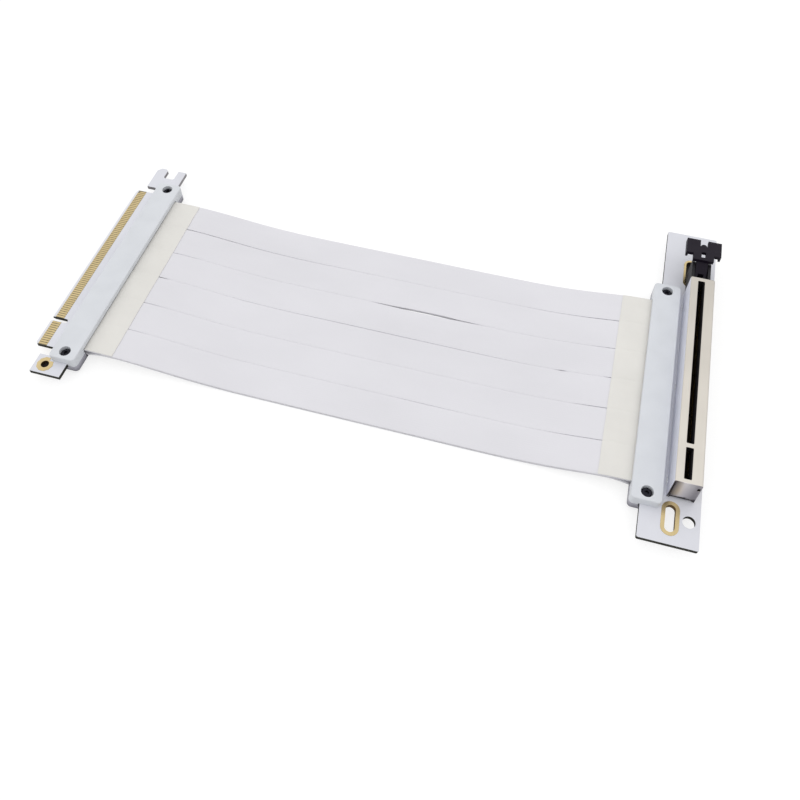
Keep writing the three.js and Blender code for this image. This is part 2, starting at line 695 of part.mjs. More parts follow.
// Card retention latch: a lever on two stub trunnions, a hook over the slot's end and a thumb
// plate with two wings
function slotLatch() {
  const leverHalf = TOWER_HALF - TOWER_WALL - CLEAR;
  const z = (height) => BOARD_TOP + height;
  const under = LATCH_TOP - LATCH_PLATE;
  const lever = new THREE.Shape();
  lever.moveTo(-LATCH_BOSS, z(PIVOT_HEIGHT));
  lever.absarc(0, z(PIVOT_HEIGHT), LATCH_BOSS, Math.PI, Math.PI * 2);
  LEVER_OUTLINE.forEach(([past, height]) => lever.lineTo(past, z(height)));
  const stem = solid(sideways(lever, [-leverHalf, leverHalf]));
  const nose = Math.min(...LEVER_OUTLINE.map(([past]) => past));
  const noseSlot = block(
    [-leverHalf / 2, leverHalf / 2],
    [nose - CUT_EXTRA, nose + NOSE_SLOT_LENGTH],
    [z(PIVOT_HEIGHT + LATCH_BOSS), z(LATCH_TOP)],
  );

  const gap = THUMB_GAP / 2;
  const thumb = polygon([
    [-NECK_HALF, NECK_START], [NECK_HALF, NECK_START], [NECK_HALF, WING_START], [WING_HALF, WING_START],
    [WING_HALF, WING_END], [gap, WING_END], [gap, THUMB_FLOOR], [-gap, THUMB_FLOOR], [-gap, WING_END],
    [-WING_HALF, WING_END], [-WING_HALF, WING_START], [-NECK_HALF, WING_START],
  ]);
  thumb.holes.push(roundedRectangle(
    [-WINDOW_HALF, WINDOW_HALF],
    [WINDOW_START, WINDOW_END],
    WINDOW_CORNER,
  ));
  const lipHeights = [z(under - WING_LIP_DROP), z(LATCH_TOP - WING_LIP_STEP)];
  const lips = [[-WING_HALF, -WING_HALF + WING_LIP], [WING_HALF - WING_LIP, WING_HALF]].map((span) => (
    block(span, [WING_START, WING_END], lipHeights)
  ));
  const button = uprightRod(
    0,
    BUTTON_Y,
    2 * BUTTON_RADIUS,
    [z(under - BUTTON_DROP), z(LATCH_TOP - BUTTON_DROP)],
    20,
  );
  const trunnions = crossRod(
    0,
    z(PIVOT_HEIGHT),
    2 * PIVOT_RADIUS,
    [-TOWER_HALF + TRUNNION_INSET, TOWER_HALF - TRUNNION_INSET],
    16,
  );
  const latch = join(stem.subtract(noseSlot), [
    plate(thumb, [z(under), z(LATCH_TOP)], 3),
    ...lips,
    button,
    trunnions,
  ]);
  return latch.translate([0, PIVOT_Y, 0]);
}

// Ribbons and tapes, measured from the plug cover's centre line

function stripStart(index) {
  return RIBBON_CENTRE_Y - CABLE_WIDTH / 2 + index * STRIP_PITCH;
}

// The whole route of one layer, from inside the plug's cover to inside the socket's
function fullRoute(plugSide, socketSide) {
  return [...plugSide, ...socketSide.map(([d, z]) => [COVER_PITCH - d, z]).reverse()];
}

// A band of even thickness that follows a route, seen from the side
function bandOutline(route, below, above) {
  const offset = (amount) => route.map(([x, z], i) => {
    const before = route[Math.max(i - 1, 0)];
    const after = route[Math.min(i + 1, route.length - 1)];
    const along = new THREE.Vector2(after[0] - before[0], after[1] - before[1]).normalize();
    return [x - along.y * amount, z + along.x * amount];
  });
  return polygon([...offset(below), ...offset(above).reverse()]);
}

function ribbon(route, index) {
  const half = RIBBON_THICKNESS / 2;
  const start = stripStart(index);
  return lengthways(bandOutline(route, -half, half), [start, start + STRIP_WIDTH]);
}

// The stretch of a route that a tape covers, from the cover's face to the tape's length
function tapeStretch(route, from, to) {
  const heightAt = (x) => {
    const i = Math.max(route.findIndex((point) => point[0] >= x), 1);
    const [x0, z0] = route[i - 1];
    const [x1, z1] = route[i];
    return z0 + ((x - x0) / (x1 - x0)) * (z1 - z0);
  };
  const inside = route.filter(([x]) => x > from + CLEAR && x < to - CLEAR);
  return [[from, heightAt(from)], ...inside, [to, heightAt(to)]];
}

function tape(route, from, to, side) {
  const near = RIBBON_THICKNESS / 2 + TAPE_CLEAR;
  const band = side > 0 ? [near, near + TAPE_THICKNESS] : [-near - TAPE_THICKNESS, -near];
  const start = stripStart(0);
  return lengthways(bandOutline(tapeStretch(route, from, to), ...band), [start, start + CABLE_WIDTH]);
}

// Assembly

function part(name, geometry, finish) {
  const mesh = new THREE.Mesh(geometry, new THREE.MeshStandardMaterial(finishes[finish]));
  mesh.name = name;
  return mesh;
}

function coverSet(end) {
  const group = new THREE.Group();
  group.add(part(`${end}_upper_cover`, geometryOf(upperCover()), 'cover'));
  group.add(part(`${end}_lower_cover`, geometryOf(lowerCover()), 'cover'));
  return group;
}

function screwPair(end) {
  return screwRows.map((y, i) => {
    const screw = part(`${end}_screw_${['near', 'far'][i]}`, geometryOf(coverScrew()), 'screw');
    screw.position.y = y;
    return screw;
  });
}

function plugEnd() {
  const group = new THREE.Group();
  group.add(part('plug_board', geometryOf(plugBoard()), 'board'));
  group.add(coverSet('plug'), ...screwPair('plug'));
  return group;
}

function socketEnd() {
  const group = new THREE.Group();
  const covers = coverSet('socket');
  covers.rotation.z = Math.PI;
  covers.position.y = SCREW_PITCH;
  group.add(covers, ...screwPair('socket'));
  const slot = new THREE.Group();
  slot.position.set(SLOT_FROM_COVER, SLOT_START, 0);
  slot.add(part('socket_board', geometryOf(socketBoard()), 'board'));
  slot.add(part('slot_housing', geometryOf(slotHousing()), 'slot'));
  slot.add(part('slot_shield', geometryOf(slotShield()), 'shield'));
  slot.add(part('slot_latch', geometryOf(slotLatch()), 'latch'));
  group.add(slot);
  group.position.x = COVER_PITCH;
  return group;
}

function cable() {
  const group = new THREE.Group();
  const upper = fullRoute(UPPER_PLUG_ROUTE, UPPER_SOCKET_ROUTE);
  const lower = fullRoute(LOWER_PLUG_ROUTE, LOWER_SOCKET_ROUTE);
  for (let i = 0; i < STRIPS; i += 1) {
    group.add(part(`ribbon_upper_${i + 1}`, ribbon(upper, i), 'ribbon'));
    group.add(part(`ribbon_lower_${i + 1}`, ribbon(lower, i), 'ribbon'));
  }
  const plugTape = [COVER_HALF + CLEAR, COVER_HALF + TAPE_LENGTH];
  const socketTape = [COVER_PITCH - COVER_HALF - TAPE_LENGTH, COVER_PITCH - COVER_HALF - CLEAR];
  group.add(part('plug_tape_upper', tape(upper, ...plugTape, 1), 'tape'));
  group.add(part('plug_tape_lower', tape(lower, ...plugTape, -1), 'tape'));
  group.add(part('socket_tape_upper', tape(upper, ...socketTape, 1), 'tape'));
  group.add(part('socket_tape_lower', tape(lower, ...socketTape, -1), 'tape'));
  return group;
}

const riser = new THREE.Group();
riser.add(plugEnd(), socketEnd(), cable());

// The origin is the middle of the footprint, on the table
const left = -TONGUE_REACH;
const right = COVER_PITCH + SLOT_FROM_COVER + SOCKET_BOARD_RIGHT;
const near = SLOT_START + SOCKET_BOARD_NEAR;
const far = SLOT_START + SOCKET_BOARD_FAR;
riser.position.set(-(left + right) / 2, -(near + far) / 2, 0);

export default riser;
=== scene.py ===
"""Looks of a flat riser cable for a graphics card, from its ribbons and tapes to its slot and latch."""

import json
import math

import bmesh
import bpy
from bpy.props import FloatProperty, FloatVectorProperty, IntProperty, PointerProperty
from mathutils import Matrix, Vector, noise

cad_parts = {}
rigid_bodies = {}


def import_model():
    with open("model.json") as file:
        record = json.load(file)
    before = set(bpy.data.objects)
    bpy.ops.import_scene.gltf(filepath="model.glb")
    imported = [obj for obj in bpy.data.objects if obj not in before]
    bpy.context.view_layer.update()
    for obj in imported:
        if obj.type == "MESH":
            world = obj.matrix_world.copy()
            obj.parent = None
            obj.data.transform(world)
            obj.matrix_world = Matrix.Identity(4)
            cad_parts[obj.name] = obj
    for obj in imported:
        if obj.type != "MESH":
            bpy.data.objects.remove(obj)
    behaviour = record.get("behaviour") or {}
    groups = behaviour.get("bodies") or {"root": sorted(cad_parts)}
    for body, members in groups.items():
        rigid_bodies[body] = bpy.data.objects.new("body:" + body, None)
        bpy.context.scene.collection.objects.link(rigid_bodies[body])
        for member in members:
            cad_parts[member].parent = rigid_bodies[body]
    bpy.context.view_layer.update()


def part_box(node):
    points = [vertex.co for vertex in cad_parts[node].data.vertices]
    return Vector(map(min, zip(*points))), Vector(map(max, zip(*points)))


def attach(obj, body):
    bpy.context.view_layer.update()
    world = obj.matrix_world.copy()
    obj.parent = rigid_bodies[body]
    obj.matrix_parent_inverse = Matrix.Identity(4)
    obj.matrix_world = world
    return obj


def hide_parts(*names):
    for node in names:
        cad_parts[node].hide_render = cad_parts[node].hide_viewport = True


bl_info = {
    "name": "Riser Cable",
    "version": (1, 0, 0),
    "blender": (4, 5, 0),
    "location": "3D View > Sidebar > Riser",
    "description": "Dresses a riser cable: ribbons, tapes, boards, covers, card slot and latch",
    "category": "Object",
}

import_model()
MM = 0.001
BODY = "riser"
LATCH_BODY = "latch"


# Places read from the frame

def middle(node, axis):
    """The middle of a node's box along one axis."""
    low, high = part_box(node)
    return (low[axis] + high[axis]) / 2


PLATING = 0.08 * MM
PLUG_LINE = middle("plug_upper_cover", 0)
SOCKET_LINE = middle("socket_upper_cover", 0)
NEAR_SCREW_Y = middle("plug_screw_near", 1)
SLOT_AXIS = SOCKET_LINE + 10.7 * MM
SLOT_START = NEAR_SCREW_Y + 3.1 * MM
BOARD_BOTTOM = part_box("plug_board")[0][2] + PLATING
BOARD_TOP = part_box("plug_board")[1][2] - PLATING
SLOT_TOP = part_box("slot_shield")[1][2]
COVER_HALF = (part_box("plug_upper_cover")[1][0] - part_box("plug_upper_cover")[0][0]) / 2

# The plug board's contacts, and the corner from which its hook tail starts
CONTACTS_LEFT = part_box("plug_board")[0][0] + 1.3 * MM
CONTACTS_RIGHT = CONTACTS_LEFT + 3.5 * MM
CONTACTS_NEAR = NEAR_SCREW_Y + 2.3 * MM
CONTACTS_FAR = NEAR_SCREW_Y + 86.9 * MM
TAIL_RIGHT = PLUG_LINE + 4 * MM
TAIL_NEAR = NEAR_SCREW_Y + 89 * MM

# The card slot: key, shield, and the springs in its gap
SHORT_SIDE_CONTACTS = 11
CONTACT_PITCH = 1 * MM
KEY_TO_CONTACT = 1.5 * MM
SLOT_KEY = SLOT_START + 12.65 * MM
SLOT_MIDDLE = SLOT_START + 42.8 * MM
LEG_PITCH = 38.2 * MM
END_PLATE_FAR = SLOT_START - 1.34 * MM
SHIELD_LEFT = SLOT_AXIS - 3.9 * MM
GAP_HALF = 0.87 * MM
SPRINGS_LOW = SLOT_TOP - 8.2 * MM
SPRINGS_HIGH = SLOT_TOP - 2.3 * MM
SPRINGS_FAR = SLOT_START + 85.5 * MM

# Solder under the slot: rows beside its middle line, taper of a joint, and the lead's end in it
SOLDER_ROWS = (1.25 * MM, 2.6 * MM)
SOLDER_SINK = 0.05 * MM
SOLDER_TAPER = 0.45
LEAD_RIM = 0.08 * MM
LEAD_LENGTH = 0.3 * MM

# Solder round the shield's legs: its size, and how deep and how far in it lies
LEG_FILL = (0.88 * MM, 2.38 * MM, 0.62 * MM)
LEG_FILL_DEPTH = 0.3 * MM
LEG_FILL_INSET = 0.15 * MM

# Fixing holes: middle, length of the straight part and radius
TAB_HOLE = {"x": PLUG_LINE - 6.25 * MM, "y": NEAR_SCREW_Y - 5.35 * MM, "straight": 0.0, "radius": 1.5 * MM}
NEAR_HOLE = {
    "x": SLOT_AXIS - 2.15 * MM, "y": SLOT_START - 9 * MM, "straight": 6.3 * MM, "radius": 1.65 * MM,
}
FAR_HOLE = {
    "x": SLOT_AXIS - 2.15 * MM, "y": SLOT_START + 98.9 * MM, "straight": 9.3 * MM, "radius": 1.7 * MM,
}

# Dark inserts in two of the holes
INSERT_PLAY = 0.05 * MM
INSERT_LOW = BOARD_BOTTOM + 0.1 * MM
INSERT_HIGH = BOARD_BOTTOM + 0.5 * MM

# Ribbon strips: their places, and the routes of both layers as distance from a cover's line and height,
# in metres
STRIPS = 6
STRIP_WIDTH = 13.1 * MM
STRIP_PITCH = 13.4 * MM
CABLE_START_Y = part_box("ribbon_upper_1")[0][1]
CABLE_END_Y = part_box(f"ribbon_upper_{STRIPS}")[1][1]
UPPER_PLUG_ROUTE = [
    (-0.0015, 0.0054), (0.002, 0.0054), (0.0055, 0.00535), (0.010, 0.0053), (0.015, 0.0052),
    (0.021, 0.00495), (0.028, 0.00435), (0.036, 0.00345), (0.044, 0.00255), (0.053, 0.0018),
    (0.063, 0.00135), (0.076, 0.0012), (0.092, 0.0012),
]
UPPER_SOCKET_ROUTE = [
    (-0.0015, 0.0054), (0.002, 0.0054), (0.0055, 0.00535), (0.010, 0.0052), (0.015, 0.0048),
    (0.021, 0.0040), (0.028, 0.0030), (0.036, 0.00215), (0.045, 0.00155), (0.056, 0.00125),
    (0.070, 0.0012), (0.086, 0.0012),
]
LOWER_PLUG_ROUTE = [
    (-0.0015, 0.0026), (0.002, 0.0026), (0.0055, 0.0031), (0.0085, 0.00385), (0.0115, 0.00435),
    (0.015, 0.00447), (0.021, 0.00422), (0.028, 0.00352), (0.036, 0.00262), (0.044, 0.00172),
    (0.053, 0.00097), (0.063, 0.00052), (0.076, 0.00038), (0.092, 0.00038),
]
LOWER_SOCKET_ROUTE = [
    (-0.0015, 0.0026), (0.002, 0.0026), (0.0055, 0.0031), (0.0085, 0.0038), (0.0115, 0.00415),
    (0.015, 0.00402), (0.021, 0.00325), (0.028, 0.00216), (0.036, 0.00132), (0.045, 0.00072),
    (0.056, 0.00042), (0.070, 0.00038), (0.086, 0.00038),
]
# Where neighbouring strips part: slit number, then places from the plug cover's line in metres and gap
# widths in millimetres
CLOSED_SLIT = 0.012 * MM
UPPER_SLITS = [
    (5, [(0.013, 0.34), (0.026, 0.24), (0.060, 0.13), (0.092, 0.05), (0.100, 0.0)]),
    (5, [(0.150, 0.0), (0.170, 0.10), (0.190, 0.26), (0.198, 0.30)]),
    (4, [(0.013, 0.16), (0.024, 0.10), (0.030, 0.0)]),
    (4, [(0.098, 0.0), (0.106, 0.35), (0.118, 1.15), (0.128, 1.10), (0.136, 0.45), (0.147, 0.0)]),
    (4, [(0.184, 0.0), (0.190, 0.14), (0.198, 0.20)]),
    (3, [(0.013, 0.42), (0.018, 0.34), (0.021, 0.0)]),
    (3, [(0.034, 0.0), (0.055, 0.08), (0.110, 0.16), (0.150, 0.10), (0.170, 0.0)]),
    (3, [(0.174, 0.0), (0.177, 0.34), (0.180, 0.0)]),
    (3, [(0.191, 0.0), (0.194, 0.25), (0.198, 0.25)]),
    (2, [(0.013, 0.24), (0.020, 0.14), (0.027, 0.0)]),
    (2, [(0.180, 0.0), (0.190, 0.22), (0.198, 0.26)]),
    (1, [(0.013, 0.18), (0.020, 0.10), (0.026, 0.0)]),
    (1, [(0.112, 0.0), (0.130, 0.10), (0.155, 0.0)]),
    (1, [(0.170, 0.0), (0.185, 0.16), (0.198, 0.20)]),
]
LOWER_SLITS = [
    (4, [(0.090, 0.0), (0.106, 0.8), (0.122, 1.5), (0.140, 0.7), (0.152, 0.0)]),
    (3, [(0.020, 0.0), (0.070, 0.35), (0.120, 0.0)]),
    (5, [(0.013, 0.4), (0.060, 0.2), (0.100, 0.0)]),
    (2, [(0.090, 0.0), (0.130, 0.35), (0.170, 0.0)]),
    (1, [(0.040, 0.0), (0.090, 0.35), (0.130, 0.0)]),
]

# Lengths of the ribbons' slow and quick waves, along and across the cable
SLOW_WAVE = (35 * MM, 16 * MM)
QUICK_WAVE = (12 * MM, 7 * MM)
QUICK_SHARE = 0.4

# Ridges of the conductors under the film; a wave texture of scale 1 repeats every 0.314 m
CONDUCTOR_PITCH = 0.9 * MM
WAVE_PERIOD = 0.314

# Tape bands: mesh step, how far they lie inside the cable's sides and reach into the covers, how far
# they lie off the ribbons and sink into the slits, and how uneven they are
TAPE_STEP = 0.45 * MM
TAPE_MARGIN = 0.1 * MM
TAPE_TUCK = 0.3 * MM
TAPE_LIFT = 0.05 * MM
TAPE_SINK = 0.07 * MM
SINK_WIDTH = 0.35 * MM
RAGGED_EDGE = 0.12 * MM
RAGGED_LENGTH = 6 * MM
RUFFLE = 0.02 * MM
RUFFLE_LENGTH = 3.5 * MM

# Camera, solved on both connectors of the photograph
LENS = 38.242
SENSOR = 36.0
CAMERA_PLACE = (0.05801, -0.19571, 0.26305)
CAMERA_PITCH = math.radians(51.777)
CAMERA_YAW = math.radians(14.826)
CAMERA_ROLL = math.radians(0.468)
CAMERA_SHIFT = (-0.00314, -0.11589)

# Light
SUN_DIRECTION = (0.25, -0.3, -1)
SUN_STRENGTH = 1.3
SUN_SPREAD = math.radians(150)
WORLD_LIGHT = 0.62
FLOOR_GLOW = 1.22
FLOOR_GLOW_SHARE = 0.6


def srgb(red, green, blue):
    """A colour from 0 to 255 a channel, as linear light with an alpha of 1."""
    def linear(channel):
        share = channel / 255
        return share / 12.92 if share <= 0.04045 else ((share + 0.055) / 1.055) ** 2.4
    return (linear(red), linear(green), linear(blue), 1.0)


# Properties that a user would change

def length(name, description, default):
    return FloatProperty(name=name, description=description, default=default, unit="LENGTH", precision=5)


def colour(name, description, value):
    return FloatVectorProperty(
        name=name, description=description, default=value, size=4, subtype="COLOR", min=0, max=1,
    )


class RiserSizes(bpy.types.PropertyGroup):
    """Sizes of the pieces that the frame leaves open."""

    ribbon_thickness: length("Ribbon thickness", "Thickness of one ribbon strip", 0.5 * MM)
    ribbon_edge: length("Ribbon edge", "Radius of a ribbon strip's edges", 0.07 * MM)
    station_step: length("Ribbon step", "Distance between sections along a ribbon", 1.5 * MM)
    crown: length("Ribbon crown", "How far a strip's edges drop below its middle", 0.07 * MM)
    wave: length("Ribbon wave", "Height of the ribbons' slow waves", 0.09 * MM)
    tape_thickness: length("Tape thickness", "Thickness of a tape band", 0.14 * MM)
    tape_reach: length("Tape reach", "Distance from a cover's line to a tape's outer edge", 16.1 * MM)
    cover_edge: length("Cover edge", "Width of the covers' softened edges", 0.14 * MM)
    screw_edge: length("Screw edge", "Width of the screws' softened edges", 0.07 * MM)
    latch_edge: length("Latch edge", "Width of the latch's softened edges", 0.16 * MM)
    sheet_edge: length("Sheet edge", "Width of the shield's softened edges", 0.06 * MM)
    small_edge: length("Small edge", "Width of the rims of inserts and solder fills", 0.08 * MM)
    solder_radius: length("Solder radius", "Radius of a solder joint at the board", 0.5 * MM)
    solder_height: length("Solder height", "How far a solder joint stands off the board", 0.75 * MM)
    contacts: IntProperty(name="Contacts", description="Contacts on each side", default=82, min=1)


class RiserColours(bpy.types.PropertyGroup):
    """Base colours of the finishes."""

    mask: colour("Board", "Solder mask of both boards", srgb(222, 223, 230))
    board_edge: colour("Board edge", "Cut edges of both boards", srgb(38, 38, 30))
    tail_edge: colour("Tail edge", "Cut edges of the hook tail", srgb(150, 147, 150))
    laminate: colour("Laminate", "Bare board between the contacts", srgb(128, 118, 94))
    # Painted shade: the holes' plating is given a dark brown in place of the rings' gold.
    shaded_hole_wall: colour("Hole wall", "Plating inside the fixing holes", srgb(104, 84, 54))
    gold: colour("Gold", "Plated contacts and rings", srgb(187, 169, 127))
    cover: colour("Cover", "Moulded covers", srgb(215, 218, 223))
    ribbon: colour("Ribbon", "Film of the ribbon strips", srgb(224, 223, 228))
    tape: colour("Tape", "Tape bands across the ribbons", srgb(226, 224, 219))
    steel: colour("Steel", "Folded shield round the slot", srgb(195, 190, 182))
    black: colour("Black", "Slot housing", srgb(22, 20, 25))
    latch: colour("Latch", "Card latch", srgb(22, 16, 28))
    insert: colour("Inserts", "Dark plugs in the tab's hole and the far oblong hole", srgb(30, 26, 26))
    screw: colour("Screw", "Blackened screws", srgb(40, 40, 46))
    solder: colour("Solder", "Solder joints under the socket board", srgb(190, 192, 196))


def sizes():
    return bpy.context.scene.riser_sizes


def colours():
    return bpy.context.scene.riser_colours


# Shared work on objects

def deselect_all():
    if bpy.context.object and bpy.context.object.mode != "OBJECT":
        bpy.ops.object.mode_set(mode="OBJECT")
    bpy.ops.object.select_all(action="DESELECT")


def activate(piece):
    deselect_all()
    piece.select_set(True)
    bpy.context.view_layer.objects.active = piece


def apply_modifiers(piece):
    activate(piece)
    for modifier in list(piece.modifiers):
        bpy.ops.object.modifier_apply(modifier=modifier.name)


def settle(piece):
    """Puts a piece's place, turn and scale into its mesh."""
    activate(piece)
    bpy.ops.object.transform_apply(location=True, rotation=True, scale=True)


def paint(piece, material):
    piece.data.materials.clear()
    piece.data.materials.append(material)


def finish_piece(piece, body, slot_name, *nodes):
    """Hangs a finished piece on its body, in place of the nodes that it stands for."""
    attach(piece, body)
    if nodes:
        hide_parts(*nodes)


def mesh_piece(name, mesh):
    piece = bpy.data.objects.new(name, mesh)
    bpy.context.scene.collection.objects.link(piece)
    return piece


def round_edges(piece, width, angle=30):
    """Rounds the edges that are sharper than angle, in degrees."""
    rounding = piece.modifiers.new("rounding", "BEVEL")
    rounding.width = width
    rounding.segments = 2
    rounding.limit_method = "ANGLE"
    rounding.angle_limit = math.radians(angle)
    apply_modifiers(piece)


def softened_copy(node, name, edge, angle=35):
    """A merged copy of a CAD node with its sharp edges rounded."""
    activate(bpy.data.objects[node])
    bpy.ops.object.duplicate(linked=False)
    piece = bpy.context.object
    piece.name = name
    bpy.ops.object.parent_clear(type="CLEAR_KEEP_TRANSFORM")
    bpy.ops.object.mode_set(mode="EDIT")
    bpy.ops.mesh.select_all(action="SELECT")
    bpy.ops.mesh.remove_doubles(threshold=1e-6)
    bpy.ops.mesh.dissolve_limited(angle_limit=math.radians(1))
    bpy.ops.object.mode_set(mode="OBJECT")
    round_edges(piece, edge, angle)
    bpy.ops.object.shade_smooth_by_angle(angle=math.radians(angle))
    flat_faces = piece.modifiers.new("flat faces", "WEIGHTED_NORMAL")
    flat_faces.keep_sharp = True
    apply_modifiers(piece)
    return piece


# Finishes

class Finish:
    """A material in the making, with short calls for the nodes that the finishes share."""

    def __init__(self, name):
        self.material = bpy.data.materials.new(name)
        self.material.use_nodes = True
        self.tree = self.material.node_tree
        self.shader = self.tree.nodes["Principled BSDF"]
        self.coordinates = self.tree.nodes.new("ShaderNodeTexCoord")

    def connect(self, value, socket):
        """Links a node's output to a socket, or sets the socket to a plain value."""
        if isinstance(value, bpy.types.NodeSocket):
            self.tree.links.new(value, socket)
        else:
            socket.default_value = value

    def stretched(self, scale):
        mapping = self.tree.nodes.new("ShaderNodeMapping")
        mapping.inputs["Scale"].default_value = scale
        self.tree.links.new(self.coordinates.outputs["Object"], mapping.inputs["Vector"])
        return mapping.outputs["Vector"]

    def noise(self, size, detail=3.0, stretch=(1, 1, 1)):
        """Noise whose blotches are about as large as size, in metres."""
        texture = self.tree.nodes.new("ShaderNodeTexNoise")
        texture.inputs["Scale"].default_value = 1 / size
        texture.inputs["Detail"].default_value = detail
        self.tree.links.new(self.stretched(stretch), texture.inputs["Vector"])
        return texture.outputs[0]

    def math(self, operation, first, second=0.0):
        step = self.tree.nodes.new("ShaderNodeMath")
        step.operation = operation
        self.connect(first, step.inputs[0])
        self.connect(second, step.inputs[1])
        return step.outputs[0]

    def spread(self, value, low, high, start=0.3, end=0.7):
        """Maps a value that runs from start to end onto low to high."""
        step = self.tree.nodes.new("ShaderNodeMapRange")
        self.connect(value, step.inputs["Value"])
        for name, number in (("From Min", start), ("From Max", end), ("To Min", low), ("To Max", high)):
            step.inputs[name].default_value = number
        return step.outputs["Result"]

    def mix(self, share, first, second):
        step = self.tree.nodes.new("ShaderNodeMix")
        step.data_type = "RGBA"
        self.connect(share, step.inputs[0])
        self.connect(first, step.inputs[6])
        self.connect(second, step.inputs[7])
        return step.outputs[2]

    def tinted(self, base, share, amount):
        """The base colour, darkened by up to amount where share is 1."""
        darker = tuple(channel * (1 - amount) for channel in base[:3]) + (1.0,)
        return self.mix(share, tuple(base), darker)

    def places(self):
        """X, Y and Z of the point in the row frame."""
        split = self.tree.nodes.new("ShaderNodeSeparateXYZ")
        self.tree.links.new(self.coordinates.outputs["Object"], split.inputs[0])
        return split.outputs

    def upright(self):
        """1 where the surface stands upright, 0 where it lies flat."""
        split = self.tree.nodes.new("ShaderNodeSeparateXYZ")
        self.tree.links.new(self.coordinates.outputs["Normal"], split.inputs[0])
        return self.math("LESS_THAN", self.math("ABSOLUTE", split.outputs[2]), 0.6)

    def bump(self, height, distance, strength=1.0):
        step = self.tree.nodes.new("ShaderNodeBump")
        step.inputs["Strength"].default_value = strength
        step.inputs["Distance"].default_value = distance
        self.connect(height, step.inputs["Height"])
        self.tree.links.new(step.outputs["Normal"], self.shader.inputs["Normal"])

    def colour(self, value):
        self.connect(value, self.shader.inputs["Base Color"])

    def roughness(self, value):
        self.connect(value, self.shader.inputs["Roughness"])

    def metallic(self, value):
        self.connect(value, self.shader.inputs["Metallic"])

    def gloss(self, level):
        self.shader.inputs["Specular IOR Level"].default_value = level


def plastic_finish(name, base, roughness, grain, depth, gloss=0.5):
    """Moulded plastic: a fine eroded skin and slow changes of gloss."""
    finish = Finish(name)
    slow = finish.noise(9 * MM, 2)
    finish.colour(finish.tinted(base, finish.spread(slow, 0, 1), 0.05))
    finish.roughness(finish.spread(slow, roughness - 0.06, roughness + 0.08))
    finish.gloss(gloss)
    finish.bump(finish.noise(grain, 4), depth)
    return finish.material


def painted_shade_cover_finish():
    """Lower covers' plastic with painted shade: darker than the upper covers, darkest towards the table."""
    finish = Finish("cover painted shade")
    places = finish.places()
    # Painted shade: dark grey at the table, rising to a lighter grey that stays darker than the covers'
    # white.
    rise = finish.spread(places[2], 0, 1, 0.6 * MM, 3.6 * MM)
    shade = finish.mix(rise, srgb(74, 72, 82), srgb(168, 167, 178))
    finish.colour(shade)
    finish.roughness(finish.spread(finish.noise(3 * MM, 3), 0.42, 0.58))
    finish.bump(finish.noise(0.4 * MM, 4), 0.006 * MM)
    return finish.material


def ribbon_finish():
    """Soft white film over a row of fine conductors."""
    finish = Finish("ribbon film")
    slow = finish.noise(22 * MM, 3, (0.5, 1, 1))
    finish.colour(finish.tinted(colours().ribbon, finish.spread(slow, 0, 1), 0.05))
    finish.roughness(finish.spread(finish.noise(4 * MM, 3, (0.3, 1, 1)), 0.42, 0.58))
    conductors = finish.tree.nodes.new("ShaderNodeTexWave")
    conductors.wave_type = "BANDS"
    conductors.bands_direction = "Y"
    conductors.inputs["Scale"].default_value = WAVE_PERIOD / CONDUCTOR_PITCH
    conductors.inputs["Distortion"].default_value = 0.0
    finish.tree.links.new(finish.coordinates.outputs["Object"], conductors.inputs["Vector"])
    creases = finish.noise(6 * MM, 4, (0.25, 1, 1))
    height = finish.math("ADD", finish.math("MULTIPLY", conductors.outputs["Fac"], 0.25), creases)
    finish.bump(height, 0.03 * MM, 0.6)
    return finish.material


def tape_finish():
    """Matt cream tape, pressed down unevenly."""
    finish = Finish("tape cream")
    slow = finish.noise(14 * MM, 2)
    finish.colour(finish.tinted(colours().tape, finish.spread(slow, 0, 1), 0.05))
    finish.roughness(finish.spread(finish.noise(2 * MM, 4), 0.5, 0.7))
    finish.bump(finish.noise(1.6 * MM, 5), 0.02 * MM, 0.7)
    return finish.material


def oblong_mask(finish, places, hole):
    """1 inside a hole's plated wall: within its radius of the hole's straight middle line."""
    past = finish.math("SUBTRACT", places[1], hole["y"])
    past = finish.math("SUBTRACT", finish.math("ABSOLUTE", past), hole["straight"] / 2)
    past = finish.math("MAXIMUM", past, 0.0)
    aside = finish.math("SUBTRACT", places[0], hole["x"])
    square = finish.math("ADD", finish.math("MULTIPLY", past, past), finish.math("MULTIPLY", aside, aside))
    return finish.math("LESS_THAN", square, (hole["radius"] + 0.1 * MM) ** 2)


def inside(finish, place, low, high):
    """1 where a coordinate lies between low and high."""
    above = finish.math("GREATER_THAN", place, low)
    return finish.math("MULTIPLY", above, finish.math("LESS_THAN", place, high))


